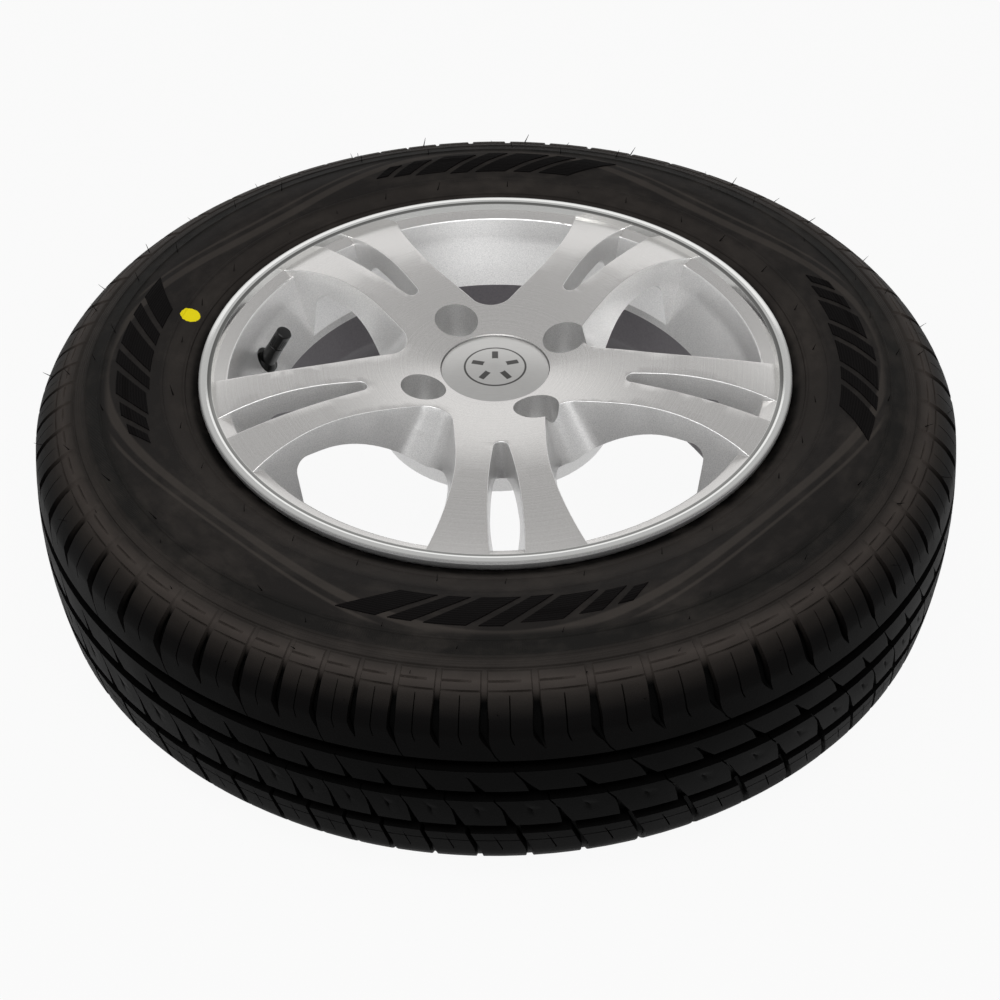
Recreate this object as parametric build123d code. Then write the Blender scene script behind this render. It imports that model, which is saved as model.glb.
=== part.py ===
from build123d import *
import os
from math import atan2, cos, degrees, hypot, radians, sin, tan

# Wheel and tyre assembly, 155/80 R13 on a 5J x 13 cast alloy wheel, in millimetres.
# Z is the wheel's axis with the outboard face up; z = 0 is the rim's mid-plane.

# Rim
RIM_DIAMETER = 329.4        # bead seat diameter of a 13 inch rim
RIM_WIDTH = 127.0           # between the flanges, 5 inches
FLANGE_HEIGHT = 17.3        # flange edge above the bead seat
FLANGE_CURL = 9.5           # radius of the flange on the tyre's side
LIP_THICKNESS = 5.0         # thickness of the curled flange
SEAT_ANGLE = 5.0            # slope of the bead seats
SEAT_WIDTH = 20.0           # width of each bead seat
HEEL_R = 4.0                # round between seat and flange
HUMP = 0.9                  # height of the safety hump inside each seat
WELL_DEPTH = 15.5           # drop centre below the bead seat
WELL_WIDTH = 34.0           # floor of the drop centre
WELL_BACK_SLOPE = 38.0      # slope of the well's inboard side
BARREL_WALL = 6.5           # wall of the rim behind the disc
BAND_WIDTH = 8.5            # flat band between the lip and the bowl
BOWL_END_Z = 29.0           # height of the bowl's inner edge
BOWL_MID_Z = 54.7           # height where the bowl steepens towards the band
BOWL_WALL = 4.6             # wall between bowl and bead seat at that height

# Disc and spokes
SPOKE_PAIRS = 5
FIRST_PAIR = -88.1          # direction of the first spoke pair, degrees
HUB_FACE_R = 33.9           # recess for the centre cap
HUB_FACE_Z = 68.0           # machined face at the cap's edge
BOLT_FACE_Z = 71.1          # machined face at the bolt circle
SPOKE_TOP_Z = 79.0          # highest part of the spoke face
SPOKE_TOP_R = 107.0         # where the spoke face is highest
SPOKE_END_Z = 70.0          # spoke face where it meets the lip
OFFSET = 30.0               # mounting face in front of the mid-plane
PAD_R = 73.0                # radius of the mounting pad
HUB_BACK_R = 78.0           # where the hub's back runs into the legs
HUB_BACK_Z = 45.0
SPOKE_BACK_Z = 64.0         # back of the legs where they are thinnest
SPOKE_BACK_R = 125.0
GUSSET_R = 144.5            # where the legs' back turns down into the bowl
GUSSET_ROUND = 9.0
PAIR_HALF = 26.2            # half width of a spoke pair
FLARE_START = 82.0          # where a pair starts to widen
FLARE_HALF = 44.0           # half width of a pair at the lip
FLANK_DRAFT = 16.0          # slope of the windows' sides
CORNER_R = 13.5             # round at a window's inner end, at the face
CORNER_GROWTH = 0.25        # growth of that round per millimetre of depth
SLOT_TIP = 82.5             # inner end of the slot in a pair
SLOT_TIP_R = 4.4            # round at the slot's inner end
SLOT_HALF = 10.0            # half width of the slot at the lip
SLOT_DRAFT = 5.0            # slope of the slot's sides
SPOKE_EDGE_R = 0.6          # round of the cast edges beside the machined front

# Hub
HUB_BORE_R = 30.05          # spigot bore, 60.1 mm
HUB_BORE_LENGTH = 14.0      # cylindrical length of the spigot bore
BOLT_CIRCLE = 100.0
BOLT_COUNT = 4
FIRST_BOLT = 29.05          # direction of the first bolt hole, degrees
BOLT_HOLE_R = 7.25          # clearance hole for an M12 bolt
SEAT_CONE_R = 11.5          # mouth of the 60 degree bolt seat
SOCKET_R = 13.75            # well for the bolt head and wrench
SOCKET_FLOOR_Z = 45.0       # floor of that well

# Centre cap
CAP_RECESS_Z = 63.0         # ledge that carries the cap's flange
CAP_GAP = 0.6               # ring gap round the cap
CAP_EDGE = 3.6              # height of the cap's edge above the ledge
CAP_DOME = 2.6              # rise of the domed face
CAP_WALL = 2.2
CAP_BORE_R = 28.5           # bore that the cap's legs snap through
CAP_BORE_END_Z = 52.0       # where that bore opens into the undercut
CAP_CLEARANCE = 0.15        # between the legs and their bore
CAP_UNDERCUT = 0.9          # undercut behind the bore, beyond the spigot bore
CAP_LEGS = 6
CAP_LEG_ANGLE = 26.0        # width of one leg, degrees
CAP_LEG_WALL = 2.0
CAP_BARB = 1.2              # hook of a leg under the bore's edge
WIRE_R = 0.8                # spring wire ring inside the legs
WIRE_CLEARANCE = 0.05

# Valve
VALVE_ANGLE = 164.5         # direction of the valve, degrees
VALVE_LEAN = 29.0           # lean of the valve towards the axis
VALVE_INSET = 8.7           # from the bead seat to where its axis meets the well's outboard side
VALVE_WALL = 5.0            # rim wall under the valve's seat
VALVE_HOLE_R = 5.75         # 11.5 mm valve hole
POCKET_R = 8.2              # spot face round the valve
POCKET_REACH = 40.0         # length of its cutter, past the bowl
VALVE_SHOULDER_R = 7.8      # rubber shoulder on the spot face
VALVE_BULB_R = 7.3          # rubber foot inside the tyre
VALVE_BULB_HEIGHT = 5.0
VALVE_SHOULDER_HEIGHT = 3.6
VALVE_NECK_R = 4.9          # rubber round the stem
VALVE_NECK_END = 19.5       # end of the rubber above the seat
VALVE_GRIP = 0.05           # rubber set back from metal
STEM_R = 3.85               # brass stem, 7.7 mm
STEM_BASE_R = 2.9           # stem inside the rubber
STEM_END = 28.0             # mouth of the stem above the seat
CORE_BORE_R = 2.65          # threaded bore for the valve core
CORE_BORE_DEPTH = 9.0
CORE_LOWER_R = 2.1          # bore under the core's seat
CORE_SEAT_LENGTH = 1.2      # taper between the two bores
CORE_CLEARANCE = 0.05
PLUG_HEIGHT = 4.0
PLUG_BORE_R = 1.1
BARREL_R = 1.75             # brass barrel of the core
BARREL_BORE_R = 1.35
BARREL_LENGTH = 9.0
BARREL_FLOOR = 0.8
PIN_R = 0.5
PIN_HEAD_R = 0.85
PIN_COLLAR_R = 1.1
PIN_COLLAR = 0.7
PIN_TRAVEL = 1.5
SPRING_WIRE_R = 0.14
SPRING_TURNS = 5
CUP_R = 1.7
CUP_HEIGHT = 1.6
WASHER_HEIGHT = 0.7
CAP_OUTER_R = 5.0           # valve cap
CAP_HEIGHT = 12.0
CAP_TOP = 2.0
CAP_THREAD_GAP = 0.10
CAP_SEAL_HEIGHT = 0.8
CAP_RIBS = 18
CAP_RIB = 0.35

# Tyre
TYRE_R = 287.0              # outer radius on the crown
TREAD_EDGE_R = 283.0        # radius at the tread's edge
TREAD_HALF = 48.0           # half width of the flat tread
SHOULDER_R = 258.0          # lower end of the shoulder blocks
SHOULDER_Z = 71.0
SHOULDER_BULGE_R = 3.0      # how far the shoulder's arc stands out from its chord
SHOULDER_BULGE_Z = 2.2
TYRE_HALF = 78.0            # half of the section width
BELLY_R = 226.0             # radius of the widest part
LOWER_R = 198.0             # lower sidewall
LOWER_Z = 73.5
TREAD_THICKNESS = 13.5      # rubber and belts under the crown
SIDEWALL = 6.5
BEAD_WIDTH = 17.0           # seat of the bead on the rim
BEAD_GAP = 0.3              # between the rubber and the rim
RIDGE_R = 0.8               # round of the moulded ridges on the side
RIDGE_PLACES = (0.14, 0.30, 0.815)  # moulded ridges, as shares of the way up the side
LINE_PLACE = 0.99           # thin groove under the shoulder blocks
GROOVE_CENTRES = (27.0, 4.5, -24.0)
GROOVE_WIDTH = 8.5
GROOVE_FLOOR = 6.0          # width of a groove at its floor
GROOVE_DEPTH = 7.5
PITCHES = 66                # repeats of the block pattern
PITCH_SPREAD = 0.22         # variation of the pitch length
PITCH_WAVES = 5
FIRST_GROOVE = 268.4        # direction of one upper shoulder groove, degrees
RIB_PHASES = (0.92, 1.50)   # mouths of the rib grooves, in pitches from the shoulder groove
LOWER_PHASE = 1.85          # lower shoulder grooves
SHOULDER_CUT_TOP = 4.6      # width of a shoulder groove at its outer end
SHOULDER_CUT_WIDE = 5.6     # at its widest part
SHOULDER_CUT_BELLY = 0.42   # place of that part, as a share of the groove's run
SHOULDER_CUT_FOOT = 0.8     # width at the tip of its tail
SHOULDER_CUT_TAIL = 6.6     # length and sideways run of the tail
SHOULDER_CUT_Z = 38.0       # inner end of the shoulder grooves
SHOULDER_CUT_DEPTH = 5.0
RIB_CUT_WIDE = 4.6          # slanted rib grooves, at the groove they open into
RIB_CUT_THIN = 1.6
RIB_CUT_DEPTH = 5.5
RIB_CUT_LENGTH = 12.0
RIB_CUT_LEAN = 11.0         # sideways run of a rib groove over its length

SEAT_R = RIM_DIAMETER / 2
VALVE_R = SEAT_R - VALVE_INSET
FLANGE_Z = RIM_WIDTH / 2
FLANGE_R = SEAT_R + FLANGE_HEIGHT
LIP_Z = FLANGE_Z + FLANGE_CURL
WELL_R = SEAT_R - WELL_DEPTH
PAIR_STEP = 360 / SPOKE_PAIRS


def section(points):
    """Closed sketch from (r, z) or (r, z, fillet) points, on the plane through the axis."""
    face = make_face(Polyline(*[(p[0], p[1]) for p in points], close=True))
    for radius in sorted({p[2] for p in points if len(p) > 2}):
        corners = [Vector(p[0], p[1]) for p in points if len(p) > 2 and p[2] == radius]
        picked = [v for v in face.vertices() if any((v.center() - c).length < 1e-4 for c in corners)]
        face = fillet(picked, radius)
    return face


def turned(points):
    """Solid of revolution about Z from a section."""
    return revolve(Plane.XZ * section(points), Axis.Z)


def ring_of(count, first, shape):
    """Copies of a shape turned about Z."""
    return [Rot(0, 0, first + 360 / count * i) * shape for i in range(count)]


def curl(angle, gap=0.0):
    """Point on the tyre's side of the outboard flange curl."""
    radius = FLANGE_CURL + gap
    return (FLANGE_R - FLANGE_CURL + radius * sin(radians(angle)), LIP_Z - radius * cos(radians(angle)))


def seat_r(depth):
    """Bead seat radius at a distance inside the flange."""
    return SEAT_R - depth * tan(radians(SEAT_ANGLE))


# Outboard side of the well: it is square to the valve, whose axis crosses it at VALVE_R
FLANK_TOP_R = seat_r(SEAT_WIDTH) - 0.5
FLANK_TOP_Z = FLANGE_Z - SEAT_WIDTH - 3.5
LEAN_TAN = tan(radians(VALVE_LEAN))
WELL_TOP_Z = FLANK_TOP_Z - (FLANK_TOP_R - WELL_R) * LEAN_TAN
WELL_FOOT_Z = WELL_TOP_Z - WELL_WIDTH
BOWL_END_R = WELL_R - BARREL_WALL - 0.6
BOWL_MID_R = seat_r(FLANGE_Z - BOWL_MID_Z) - BOWL_WALL
BAND_R = FLANGE_R - 8.5 - BAND_WIDTH


def rim_barrel():
    """Turned rim: lip, band and bowl in front, barrel behind, drop centre towards the tyre."""
    step_r = BAND_R + BAND_WIDTH
    curls = [curl(a) for a in (0, 22, 45, 68, 90)]
    inner = seat_r(SEAT_WIDTH)
    ledge_z = -(FLANGE_Z - SEAT_WIDTH)
    back_r = inner - 3
    back_z = WELL_FOOT_Z - (back_r - WELL_R) / tan(radians(WELL_BACK_SLOPE))
    tyre_side = [
        (SEAT_R, FLANGE_Z, HEEL_R),
        (inner, FLANGE_Z - SEAT_WIDTH),
        (inner + HUMP, FLANGE_Z - SEAT_WIDTH - 1.8),
        (FLANK_TOP_R, FLANK_TOP_Z),
        (WELL_R, WELL_TOP_Z, 1.5),
        (WELL_R, WELL_FOOT_Z, 6.0),
        (back_r, back_z, 6.0),
        (inner - 0.6, ledge_z + 3.5),
        (inner + HUMP, ledge_z + 1.8),
        (inner, ledge_z),
        (SEAT_R, -FLANGE_Z, HEEL_R),
    ]
    back_lip = [(r, -z) for r, z in curls]
    barrel = [
        (FLANGE_R - 0.4, -LIP_Z - 1.2),
        (FLANGE_R - LIP_THICKNESS + 0.8, -LIP_Z - 1.2),
        (FLANGE_R - FLANGE_CURL - 1.0, -FLANGE_Z - LIP_THICKNESS, 4.0),
        (SEAT_R - BARREL_WALL - 1.0, -FLANGE_Z - LIP_THICKNESS + 1.5, 4.0),
        (inner - BARREL_WALL - 1.0, ledge_z, 8.0),
        (back_r - BARREL_WALL, back_z - 2.0, 8.0),
        (WELL_R - BARREL_WALL, WELL_FOOT_Z + 1.0, 8.0),
        (WELL_R - BARREL_WALL, BOWL_END_Z - 5.0),
        (BOWL_END_R, BOWL_END_Z),
    ]
    bowl = [
        (BOWL_MID_R, BOWL_MID_Z, 30.0),
        (BAND_R, SPOKE_END_Z - 2.2, 2.0),
        (step_r - 0.6, SPOKE_END_Z),
        (step_r + 0.6, LIP_Z + 0.6),
        (FLANGE_R - 4.0, LIP_Z + 1.6, 1.5),
        (FLANGE_R - 0.5, LIP_Z + 1.3),
    ]
    outline = list(reversed(curls)) + tyre_side + back_lip + barrel + bowl
    return turned(outline)


def face_profile():
    """Machined front of hub and spokes, from the cap's recess to the lip."""
    end_r = BAND_R + BAND_WIDTH - 0.6
    rise = ThreePointArc(
        (HUB_FACE_R, HUB_FACE_Z),
        (BOLT_CIRCLE / 2 + 18, BOLT_FACE_Z + 4.2),
        (SPOKE_TOP_R, SPOKE_TOP_Z),
    )
    fall_start = rise @ 1
    fall = TangentArc(fall_start, (end_r, SPOKE_END_Z), tangent=rise % 1)
    return rise, fall


def disc_blank():
    """Hub and spoke disc before the windows are cut."""
    rise, fall = face_profile()
    end = fall @ 1
    outer = Polyline(
        (end.X, end.Y),
        (BAND_R + 3, SPOKE_END_Z - 4),
        (SEAT_R - 1, FLANGE_Z),
        (BOWL_MID_R + 2, BOWL_MID_Z),
        (BOWL_END_R + 5, BOWL_END_Z + 3),
        (GUSSET_R, BOWL_END_Z + 3),
        (GUSSET_R, SPOKE_BACK_Z - GUSSET_ROUND),
    )
    turn = TangentArc(outer @ 1, (GUSSET_R - GUSSET_ROUND, SPOKE_BACK_Z), tangent=(0, 1))
    leg_back = Line(turn @ 1, (SPOKE_BACK_R, SPOKE_BACK_Z))
    hub_back = TangentArc(leg_back @ 1, (HUB_BACK_R, HUB_BACK_Z), tangent=(-1, 0))
    pad = Polyline(
        hub_back @ 1,
        (PAD_R, OFFSET),
        (HUB_FACE_R, OFFSET),
        (HUB_FACE_R, HUB_FACE_Z),
    )
    ring = revolve(Plane.XZ * make_face([rise, fall, outer, turn, leg_back, hub_back, pad]), Axis.Z)
    core = turned([
        (0, OFFSET),
        (HUB_FACE_R, OFFSET),
        (HUB_FACE_R, HUB_FACE_Z),
        (0, HUB_FACE_Z),
    ])
    return ring + core


def window_outline(level):
    """Outline of a window at a height; X runs along the window's middle line."""
    drop = SPOKE_TOP_Z - level
    half_step = radians(PAIR_STEP / 2)
    half = PAIR_HALF + drop * tan(radians(FLANK_DRAFT))
    corner = CORNER_R + drop * CORNER_GROWTH
    tip = half / sin(half_step)
    reach = FLANGE_R + 4
    swell = FLARE_HALF - PAIR_HALF
    lip_run = FLANGE_R - 15 - FLARE_START
    end_half = half + swell * ((reach - FLARE_START) / lip_run) ** 2

    def beside(along, across, side):
        """Point beside a spoke pair, given along and across that pair."""
        x = along * cos(half_step) + across * sin(half_step)
        y = along * sin(half_step) - across * cos(half_step)
        return (x, side * y)

    touch = (half + corner) / tan(half_step)
    flare = max(FLARE_START, touch + 3)
    apex = (tip + corner * (1 / sin(half_step) - 1), 0)
    sides = []
    for side in (1, -1):
        foot = beside(touch, half, side)
        bend = beside(flare, half, side)
        end = beside(reach, end_half, side)
        run = (cos(half_step), side * sin(half_step))
        sides.append((foot, bend, end, run))
    upper, lower = sides
    edges = [
        ThreePointArc(lower[0], apex, upper[0]),
        Line(upper[0], upper[1]),
        TangentArc(upper[1], upper[2], tangent=upper[3]),
        Line(upper[2], lower[2]),
        TangentArc(lower[1], lower[2], tangent=lower[3]),
        Line(lower[1], lower[0]),
    ]
    return Pos(0, 0, level) * make_face(edges)


def slot_outline(level):
    """Outline of the slot in a spoke pair at a height; X runs along the pair."""
    drop = SPOKE_TOP_Z - level
    narrow = drop * tan(radians(SLOT_DRAFT))
    start = SLOT_TIP + narrow
    tip = max(SLOT_TIP_R - narrow / 2, 1.0)
    reach = FLANGE_R + 4
    middle = (start + reach) / 2 - 12
    foot = start + tip
    mid_half = SLOT_HALF - 1.2 - narrow
    end_half = SLOT_HALF + 0.2 - narrow
    edges = [
        ThreePointArc((foot, -tip), (start, 0), (foot, tip)),
        ThreePointArc((foot, tip), (middle, mid_half), (reach, end_half)),
        Line((reach, end_half), (reach, -end_half)),
        ThreePointArc((reach, -end_half), (middle, -mid_half), (foot, -tip)),
    ]
    return Pos(0, 0, level) * make_face(edges)


def soft_edges(disc):
    """Disc with the edges round, where windows and slots meet the machined front."""
    turned_faces = disc.faces().filter_by(GeomType.REVOLUTION)
    fronts = [face for face in turned_faces if face.bounding_box().min.Z > HUB_FACE_Z - 1]
    rims = [edge for front in fronts for edge in front.edges().filter_by(GeomType.BSPLINE)]
    return fillet(rims, SPOKE_EDGE_R)


def bolt_socket():
    """Wrench well, 60 degree seat and hole for one bolt, at the first bolt's radius."""
    seat_depth = (SEAT_CONE_R - BOLT_HOLE_R) * tan(radians(60))
    cut = turned([
        (0, OFFSET - 1),
        (BOLT_HOLE_R, OFFSET - 1),
        (BOLT_HOLE_R, SOCKET_FLOOR_Z - seat_depth),
        (SEAT_CONE_R, SOCKET_FLOOR_Z),
        (SOCKET_R, SOCKET_FLOOR_Z),
        (SOCKET_R, SPOKE_TOP_Z + 1),
        (0, SPOKE_TOP_Z + 1),
    ])
    return Pos(BOLT_CIRCLE / 2, 0, 0) * cut


def hub_bore():
    """Spigot bore, undercut, cap bore and cap recess in one cut."""
    spigot_end = OFFSET + HUB_BORE_LENGTH
    undercut_r = HUB_BORE_R + CAP_UNDERCUT
    return turned([
        (0, OFFSET - 1),
        (HUB_BORE_R, OFFSET - 1),
        (HUB_BORE_R, spigot_end),
        (undercut_r, spigot_end),
        (undercut_r, CAP_BORE_END_Z),
        (CAP_BORE_R, CAP_BORE_END_Z),
        (CAP_BORE_R, CAP_RECESS_Z),
        (HUB_FACE_R, CAP_RECESS_Z),
        (HUB_FACE_R, SPOKE_TOP_Z),
        (0, SPOKE_TOP_Z),
    ])


# Valve frame: origin in the middle of the spot face, Z out along the valve
VALVE_FLANK_Z = FLANK_TOP_Z - (FLANK_TOP_R - VALVE_R) * LEAN_TAN
LEAN_SIN = sin(radians(VALVE_LEAN))
LEAN_COS = cos(radians(VALVE_LEAN))
VALVE_SEAT_R = VALVE_R - VALVE_WALL * LEAN_SIN
VALVE_SEAT_Z = VALVE_FLANK_Z + VALVE_WALL * LEAN_COS
VALVE_FRAME = Rot(0, 0, VALVE_ANGLE) * Pos(VALVE_SEAT_R, 0, VALVE_SEAT_Z) * Rot(0, -VALVE_LEAN, 0)


def alloy_wheel():
    """Cast wheel: turned rim and disc, windows and slots with draft, sockets, bores, valve hole."""
    top = SPOKE_TOP_Z + 6
    bottom = BOWL_END_Z - 6
    window = loft([window_outline(top), window_outline(bottom)], ruled=True)
    slot = loft([slot_outline(top), slot_outline(bottom)], ruled=True)
    disc = disc_blank()
    disc -= ring_of(SPOKE_PAIRS, FIRST_PAIR + PAIR_STEP / 2, window)
    disc -= ring_of(SPOKE_PAIRS, FIRST_PAIR, slot)
    wheel = rim_barrel() + soft_edges(disc)
    wheel -= hub_bore()
    wheel -= ring_of(BOLT_COUNT, FIRST_BOLT, bolt_socket())
    pocket = Pos(0, 0, POCKET_REACH / 2) * Cylinder(POCKET_R, POCKET_REACH)
    hole = Cylinder(VALVE_HOLE_R, 4 * VALVE_WALL)
    wheel -= [VALVE_FRAME * pocket, VALVE_FRAME * hole]
    return wheel


def centre_cap():
    """Moulded cap: domed face with a flange on the ledge, and hooked legs in the bore."""
    edge_r = HUB_FACE_R - CAP_GAP
    edge_z = CAP_RECESS_Z + CAP_EDGE
    leg_r = CAP_BORE_R - CAP_CLEARANCE
    inner_r = leg_r - CAP_LEG_WALL
    dome_top = ThreePointArc((0, edge_z + CAP_DOME), (edge_r / 2, edge_z + CAP_DOME * 0.76), (edge_r, edge_z))
    underside = Polyline(
        (edge_r, edge_z),
        (edge_r, CAP_RECESS_Z),
        (inner_r, CAP_RECESS_Z),
        (inner_r - 2, edge_z + CAP_DOME * 0.3 - CAP_WALL),
        (0, edge_z + CAP_DOME - CAP_WALL),
        (0, edge_z + CAP_DOME),
    )
    cap = revolve(Plane.XZ * make_face([dome_top, underside]), Axis.Z)
    hook_z = CAP_BORE_END_Z - 0.3
    wire_z = (CAP_BORE_END_Z + CAP_RECESS_Z) / 2
    notch = WIRE_R + WIRE_CLEARANCE
    leg = section([
        (inner_r, CAP_RECESS_Z + 0.5),
        (leg_r, CAP_RECESS_Z + 0.5),
        (leg_r, hook_z),
        (leg_r + CAP_BARB, hook_z),
        (leg_r + CAP_BARB, hook_z - 1.2),
        (leg_r - 0.4, hook_z - 5.0),
        (inner_r, hook_z - 5.0),
        (inner_r, wire_z - notch),
        (inner_r + WIRE_R, wire_z - notch),
        (inner_r + WIRE_R, wire_z + notch),
        (inner_r, wire_z + notch),
    ])
    leg_solid = revolve(Plane.XZ * leg, Axis.Z, revolution_arc=CAP_LEG_ANGLE)
    return cap + ring_of(CAP_LEGS, 0, leg_solid)


def cap_spring_ring():
    """Wire ring that spreads the cap's legs, open at one place."""
    wire_z = (CAP_BORE_END_Z + CAP_RECESS_Z) / 2
    ring_r = CAP_BORE_R - CAP_CLEARANCE - CAP_LEG_WALL - WIRE_CLEARANCE
    wire = Plane.XZ * Pos(ring_r, wire_z) * Circle(WIRE_R)
    gap_angle = 360 / CAP_LEGS - CAP_LEG_ANGLE - 8
    return Rot(0, 0, CAP_LEG_ANGLE + 4 + gap_angle) * revolve(wire, Axis.Z, revolution_arc=360 - gap_angle)


def valve_body():
    """Snap-in rubber: foot inside the tyre, neck through the rim, shoulder and stem cover outside."""
    bore = STEM_BASE_R
    hole = VALVE_HOLE_R - VALVE_GRIP
    foot = -VALVE_WALL - VALVE_GRIP
    seat = VALVE_GRIP
    return VALVE_FRAME * turned([
        (bore, foot - VALVE_BULB_HEIGHT),
        (VALVE_BULB_R - 2.2, foot - VALVE_BULB_HEIGHT, 2.0),
        (VALVE_BULB_R, foot - 2.0),
        (VALVE_BULB_R, foot),
        (hole, foot),
        (hole, seat),
        (VALVE_SHOULDER_R, seat),
        (VALVE_SHOULDER_R, seat + VALVE_SHOULDER_HEIGHT * 0.55, 1.2),
        (VALVE_NECK_R + 0.6, seat + VALVE_SHOULDER_HEIGHT + 1.8, 1.5),
        (VALVE_NECK_R, VALVE_NECK_END, 0.6),
        (STEM_R, VALVE_NECK_END),
        (STEM_R, VALVE_NECK_END - 6),
        (bore, VALVE_NECK_END - 8),
    ])


def stem_bores():
    """Heights of the stem's seat for the core: top and bottom of the taper."""
    seat_top = STEM_END - CORE_BORE_DEPTH
    return seat_top, seat_top - CORE_SEAT_LENGTH


def valve_stem():
    """Brass stem with a stepped bore for the core."""
    seat_top, seat_foot = stem_bores()
    foot = -VALVE_WALL - VALVE_GRIP - VALVE_BULB_HEIGHT
    return VALVE_FRAME * turned([
        (CORE_LOWER_R, foot),
        (STEM_BASE_R, foot),
        (STEM_BASE_R, VALVE_NECK_END - 8),
        (STEM_R, VALVE_NECK_END - 6),
        (STEM_R, STEM_END, 0.5),
        (CORE_BORE_R, STEM_END),
        (CORE_BORE_R, seat_top),
        (CORE_LOWER_R, seat_foot),
    ])


# Heights in the valve core, from the stem's mouth downwards
PLUG_TOP = STEM_END - 1.0
PLUG_FOOT = PLUG_TOP - PLUG_HEIGHT
CORE_BARREL_FOOT = PLUG_FOOT - BARREL_LENGTH
COLLAR_FOOT = PLUG_FOOT - PIN_COLLAR - 0.2
SPRING_FOOT = CORE_BARREL_FOOT + BARREL_FLOOR


def valve_core_plug():
    """Threaded plug that holds the core in the stem, with its wrench flats."""
    plug = turned([
        (PLUG_BORE_R, PLUG_FOOT),
        (CORE_BORE_R - CORE_CLEARANCE, PLUG_FOOT),
        (CORE_BORE_R - CORE_CLEARANCE, PLUG_TOP - 1.6),
        (PLUG_BORE_R + 0.7, PLUG_TOP - 1.6),
        (PLUG_BORE_R + 0.7, PLUG_TOP),
        (PLUG_BORE_R, PLUG_TOP),
    ])
    return VALVE_FRAME * plug


def valve_core_barrel():
    """Barrel under the plug; the pin passes its floor and the spring stands on it."""
    barrel = turned([
        (PIN_R + CORE_CLEARANCE, CORE_BARREL_FOOT),
        (BARREL_R, CORE_BARREL_FOOT),
        (BARREL_R, PLUG_FOOT),
        (BARREL_BORE_R, PLUG_FOOT),
        (BARREL_BORE_R, SPRING_FOOT),
        (PIN_R + CORE_CLEARANCE, SPRING_FOOT),
    ])
    return VALVE_FRAME * barrel


def valve_core_seal():
    """Sealing sleeve between the barrel and the stem's taper."""
    seat_top, seat_foot = stem_bores()
    slope = (CORE_BORE_R - CORE_LOWER_R) / CORE_SEAT_LENGTH
    upper = CORE_BORE_R - CORE_CLEARANCE
    seal = turned([
        (BARREL_R + CORE_CLEARANCE, seat_foot),
        (CORE_LOWER_R - CORE_CLEARANCE, seat_foot),
        (upper, seat_foot + (upper - CORE_LOWER_R + CORE_CLEARANCE) / slope),
        (upper, seat_top + 1.2),
        (BARREL_R + CORE_CLEARANCE, seat_top + 1.2),
    ])
    return VALVE_FRAME * seal


def valve_core_pin():
    """Pin with its head at the stem's mouth and a collar for the spring."""
    cup_foot = CORE_BARREL_FOOT - CORE_CLEARANCE - WASHER_HEIGHT - CUP_HEIGHT
    pin = turned([
        (0, cup_foot - 0.3),
        (PIN_R, cup_foot - 0.3),
        (PIN_R, COLLAR_FOOT),
        (PIN_COLLAR_R, COLLAR_FOOT),
        (PIN_COLLAR_R, COLLAR_FOOT + PIN_COLLAR),
        (PIN_R, COLLAR_FOOT + PIN_COLLAR),
        (PIN_R, STEM_END - 1.4),
        (PIN_HEAD_R, STEM_END - 1.0 + PIN_TRAVEL),
        (PIN_HEAD_R, STEM_END + PIN_TRAVEL * 0.4),
        (0, STEM_END + PIN_TRAVEL * 0.4),
    ])
    return VALVE_FRAME * pin


def valve_core_spring():
    """Compression spring between the barrel's floor and the pin's collar."""
    coil_r = (PIN_COLLAR_R + PIN_R) / 2 + 0.15
    low = SPRING_FOOT + SPRING_WIRE_R + 0.02
    height = COLLAR_FOOT - SPRING_WIRE_R - 0.02 - low
    path = Pos(0, 0, low) * Helix(height / SPRING_TURNS, height, coil_r)
    start = Plane(origin=path @ 0, z_dir=path % 0)
    return VALVE_FRAME * sweep(start * Circle(SPRING_WIRE_R), path=path)


def valve_core_cup():
    """Cup on the pin's foot that carries the sealing washer."""
    top = CORE_BARREL_FOOT - CORE_CLEARANCE - WASHER_HEIGHT
    cup = turned([
        (PIN_R, top - CUP_HEIGHT),
        (CUP_R, top - CUP_HEIGHT),
        (CUP_R, top),
        (PIN_R, top),
    ])
    return VALVE_FRAME * cup


def valve_core_washer():
    """Rubber washer that closes against the barrel's foot."""
    top = CORE_BARREL_FOOT - CORE_CLEARANCE
    washer = turned([
        (PIN_R, top - WASHER_HEIGHT),
        (CUP_R, top - WASHER_HEIGHT),
        (CUP_R, top),
        (PIN_R, top),
    ])
    return VALVE_FRAME * washer


VALVE_CAP_ROOF = STEM_END + CAP_SEAL_HEIGHT + PIN_TRAVEL + 0.1
VALVE_CAP_TOP = VALVE_CAP_ROOF + CAP_TOP


def valve_cap():
    """Moulded screw cap with a ribbed skirt."""
    foot = VALVE_CAP_TOP - CAP_HEIGHT
    bore = STEM_R + CAP_THREAD_GAP
    cap = turned([
        (bore, foot),
        (CAP_OUTER_R, foot),
        (CAP_OUTER_R, VALVE_CAP_TOP, 1.2),
        (0, VALVE_CAP_TOP),
        (0, VALVE_CAP_ROOF),
        (bore, VALVE_CAP_ROOF),
    ])
    groove = Pos(CAP_OUTER_R, 0, foot + CAP_HEIGHT / 2 - 1.5) * Box(2 * CAP_RIB, 0.8, CAP_HEIGHT - 5)
    cap -= ring_of(CAP_RIBS, 0, groove)
    return VALVE_FRAME * cap


def valve_cap_seal():
    """Rubber ring in the cap's roof that seals on the stem's mouth."""
    bore = STEM_R + CAP_THREAD_GAP
    seal = turned([
        (CORE_BORE_R, STEM_END + CORE_CLEARANCE),
        (bore - CORE_CLEARANCE, STEM_END + CORE_CLEARANCE),
        (bore - CORE_CLEARANCE, VALVE_CAP_ROOF),
        (CORE_BORE_R, VALVE_CAP_ROOF),
    ])
    return VALVE_FRAME * seal


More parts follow.
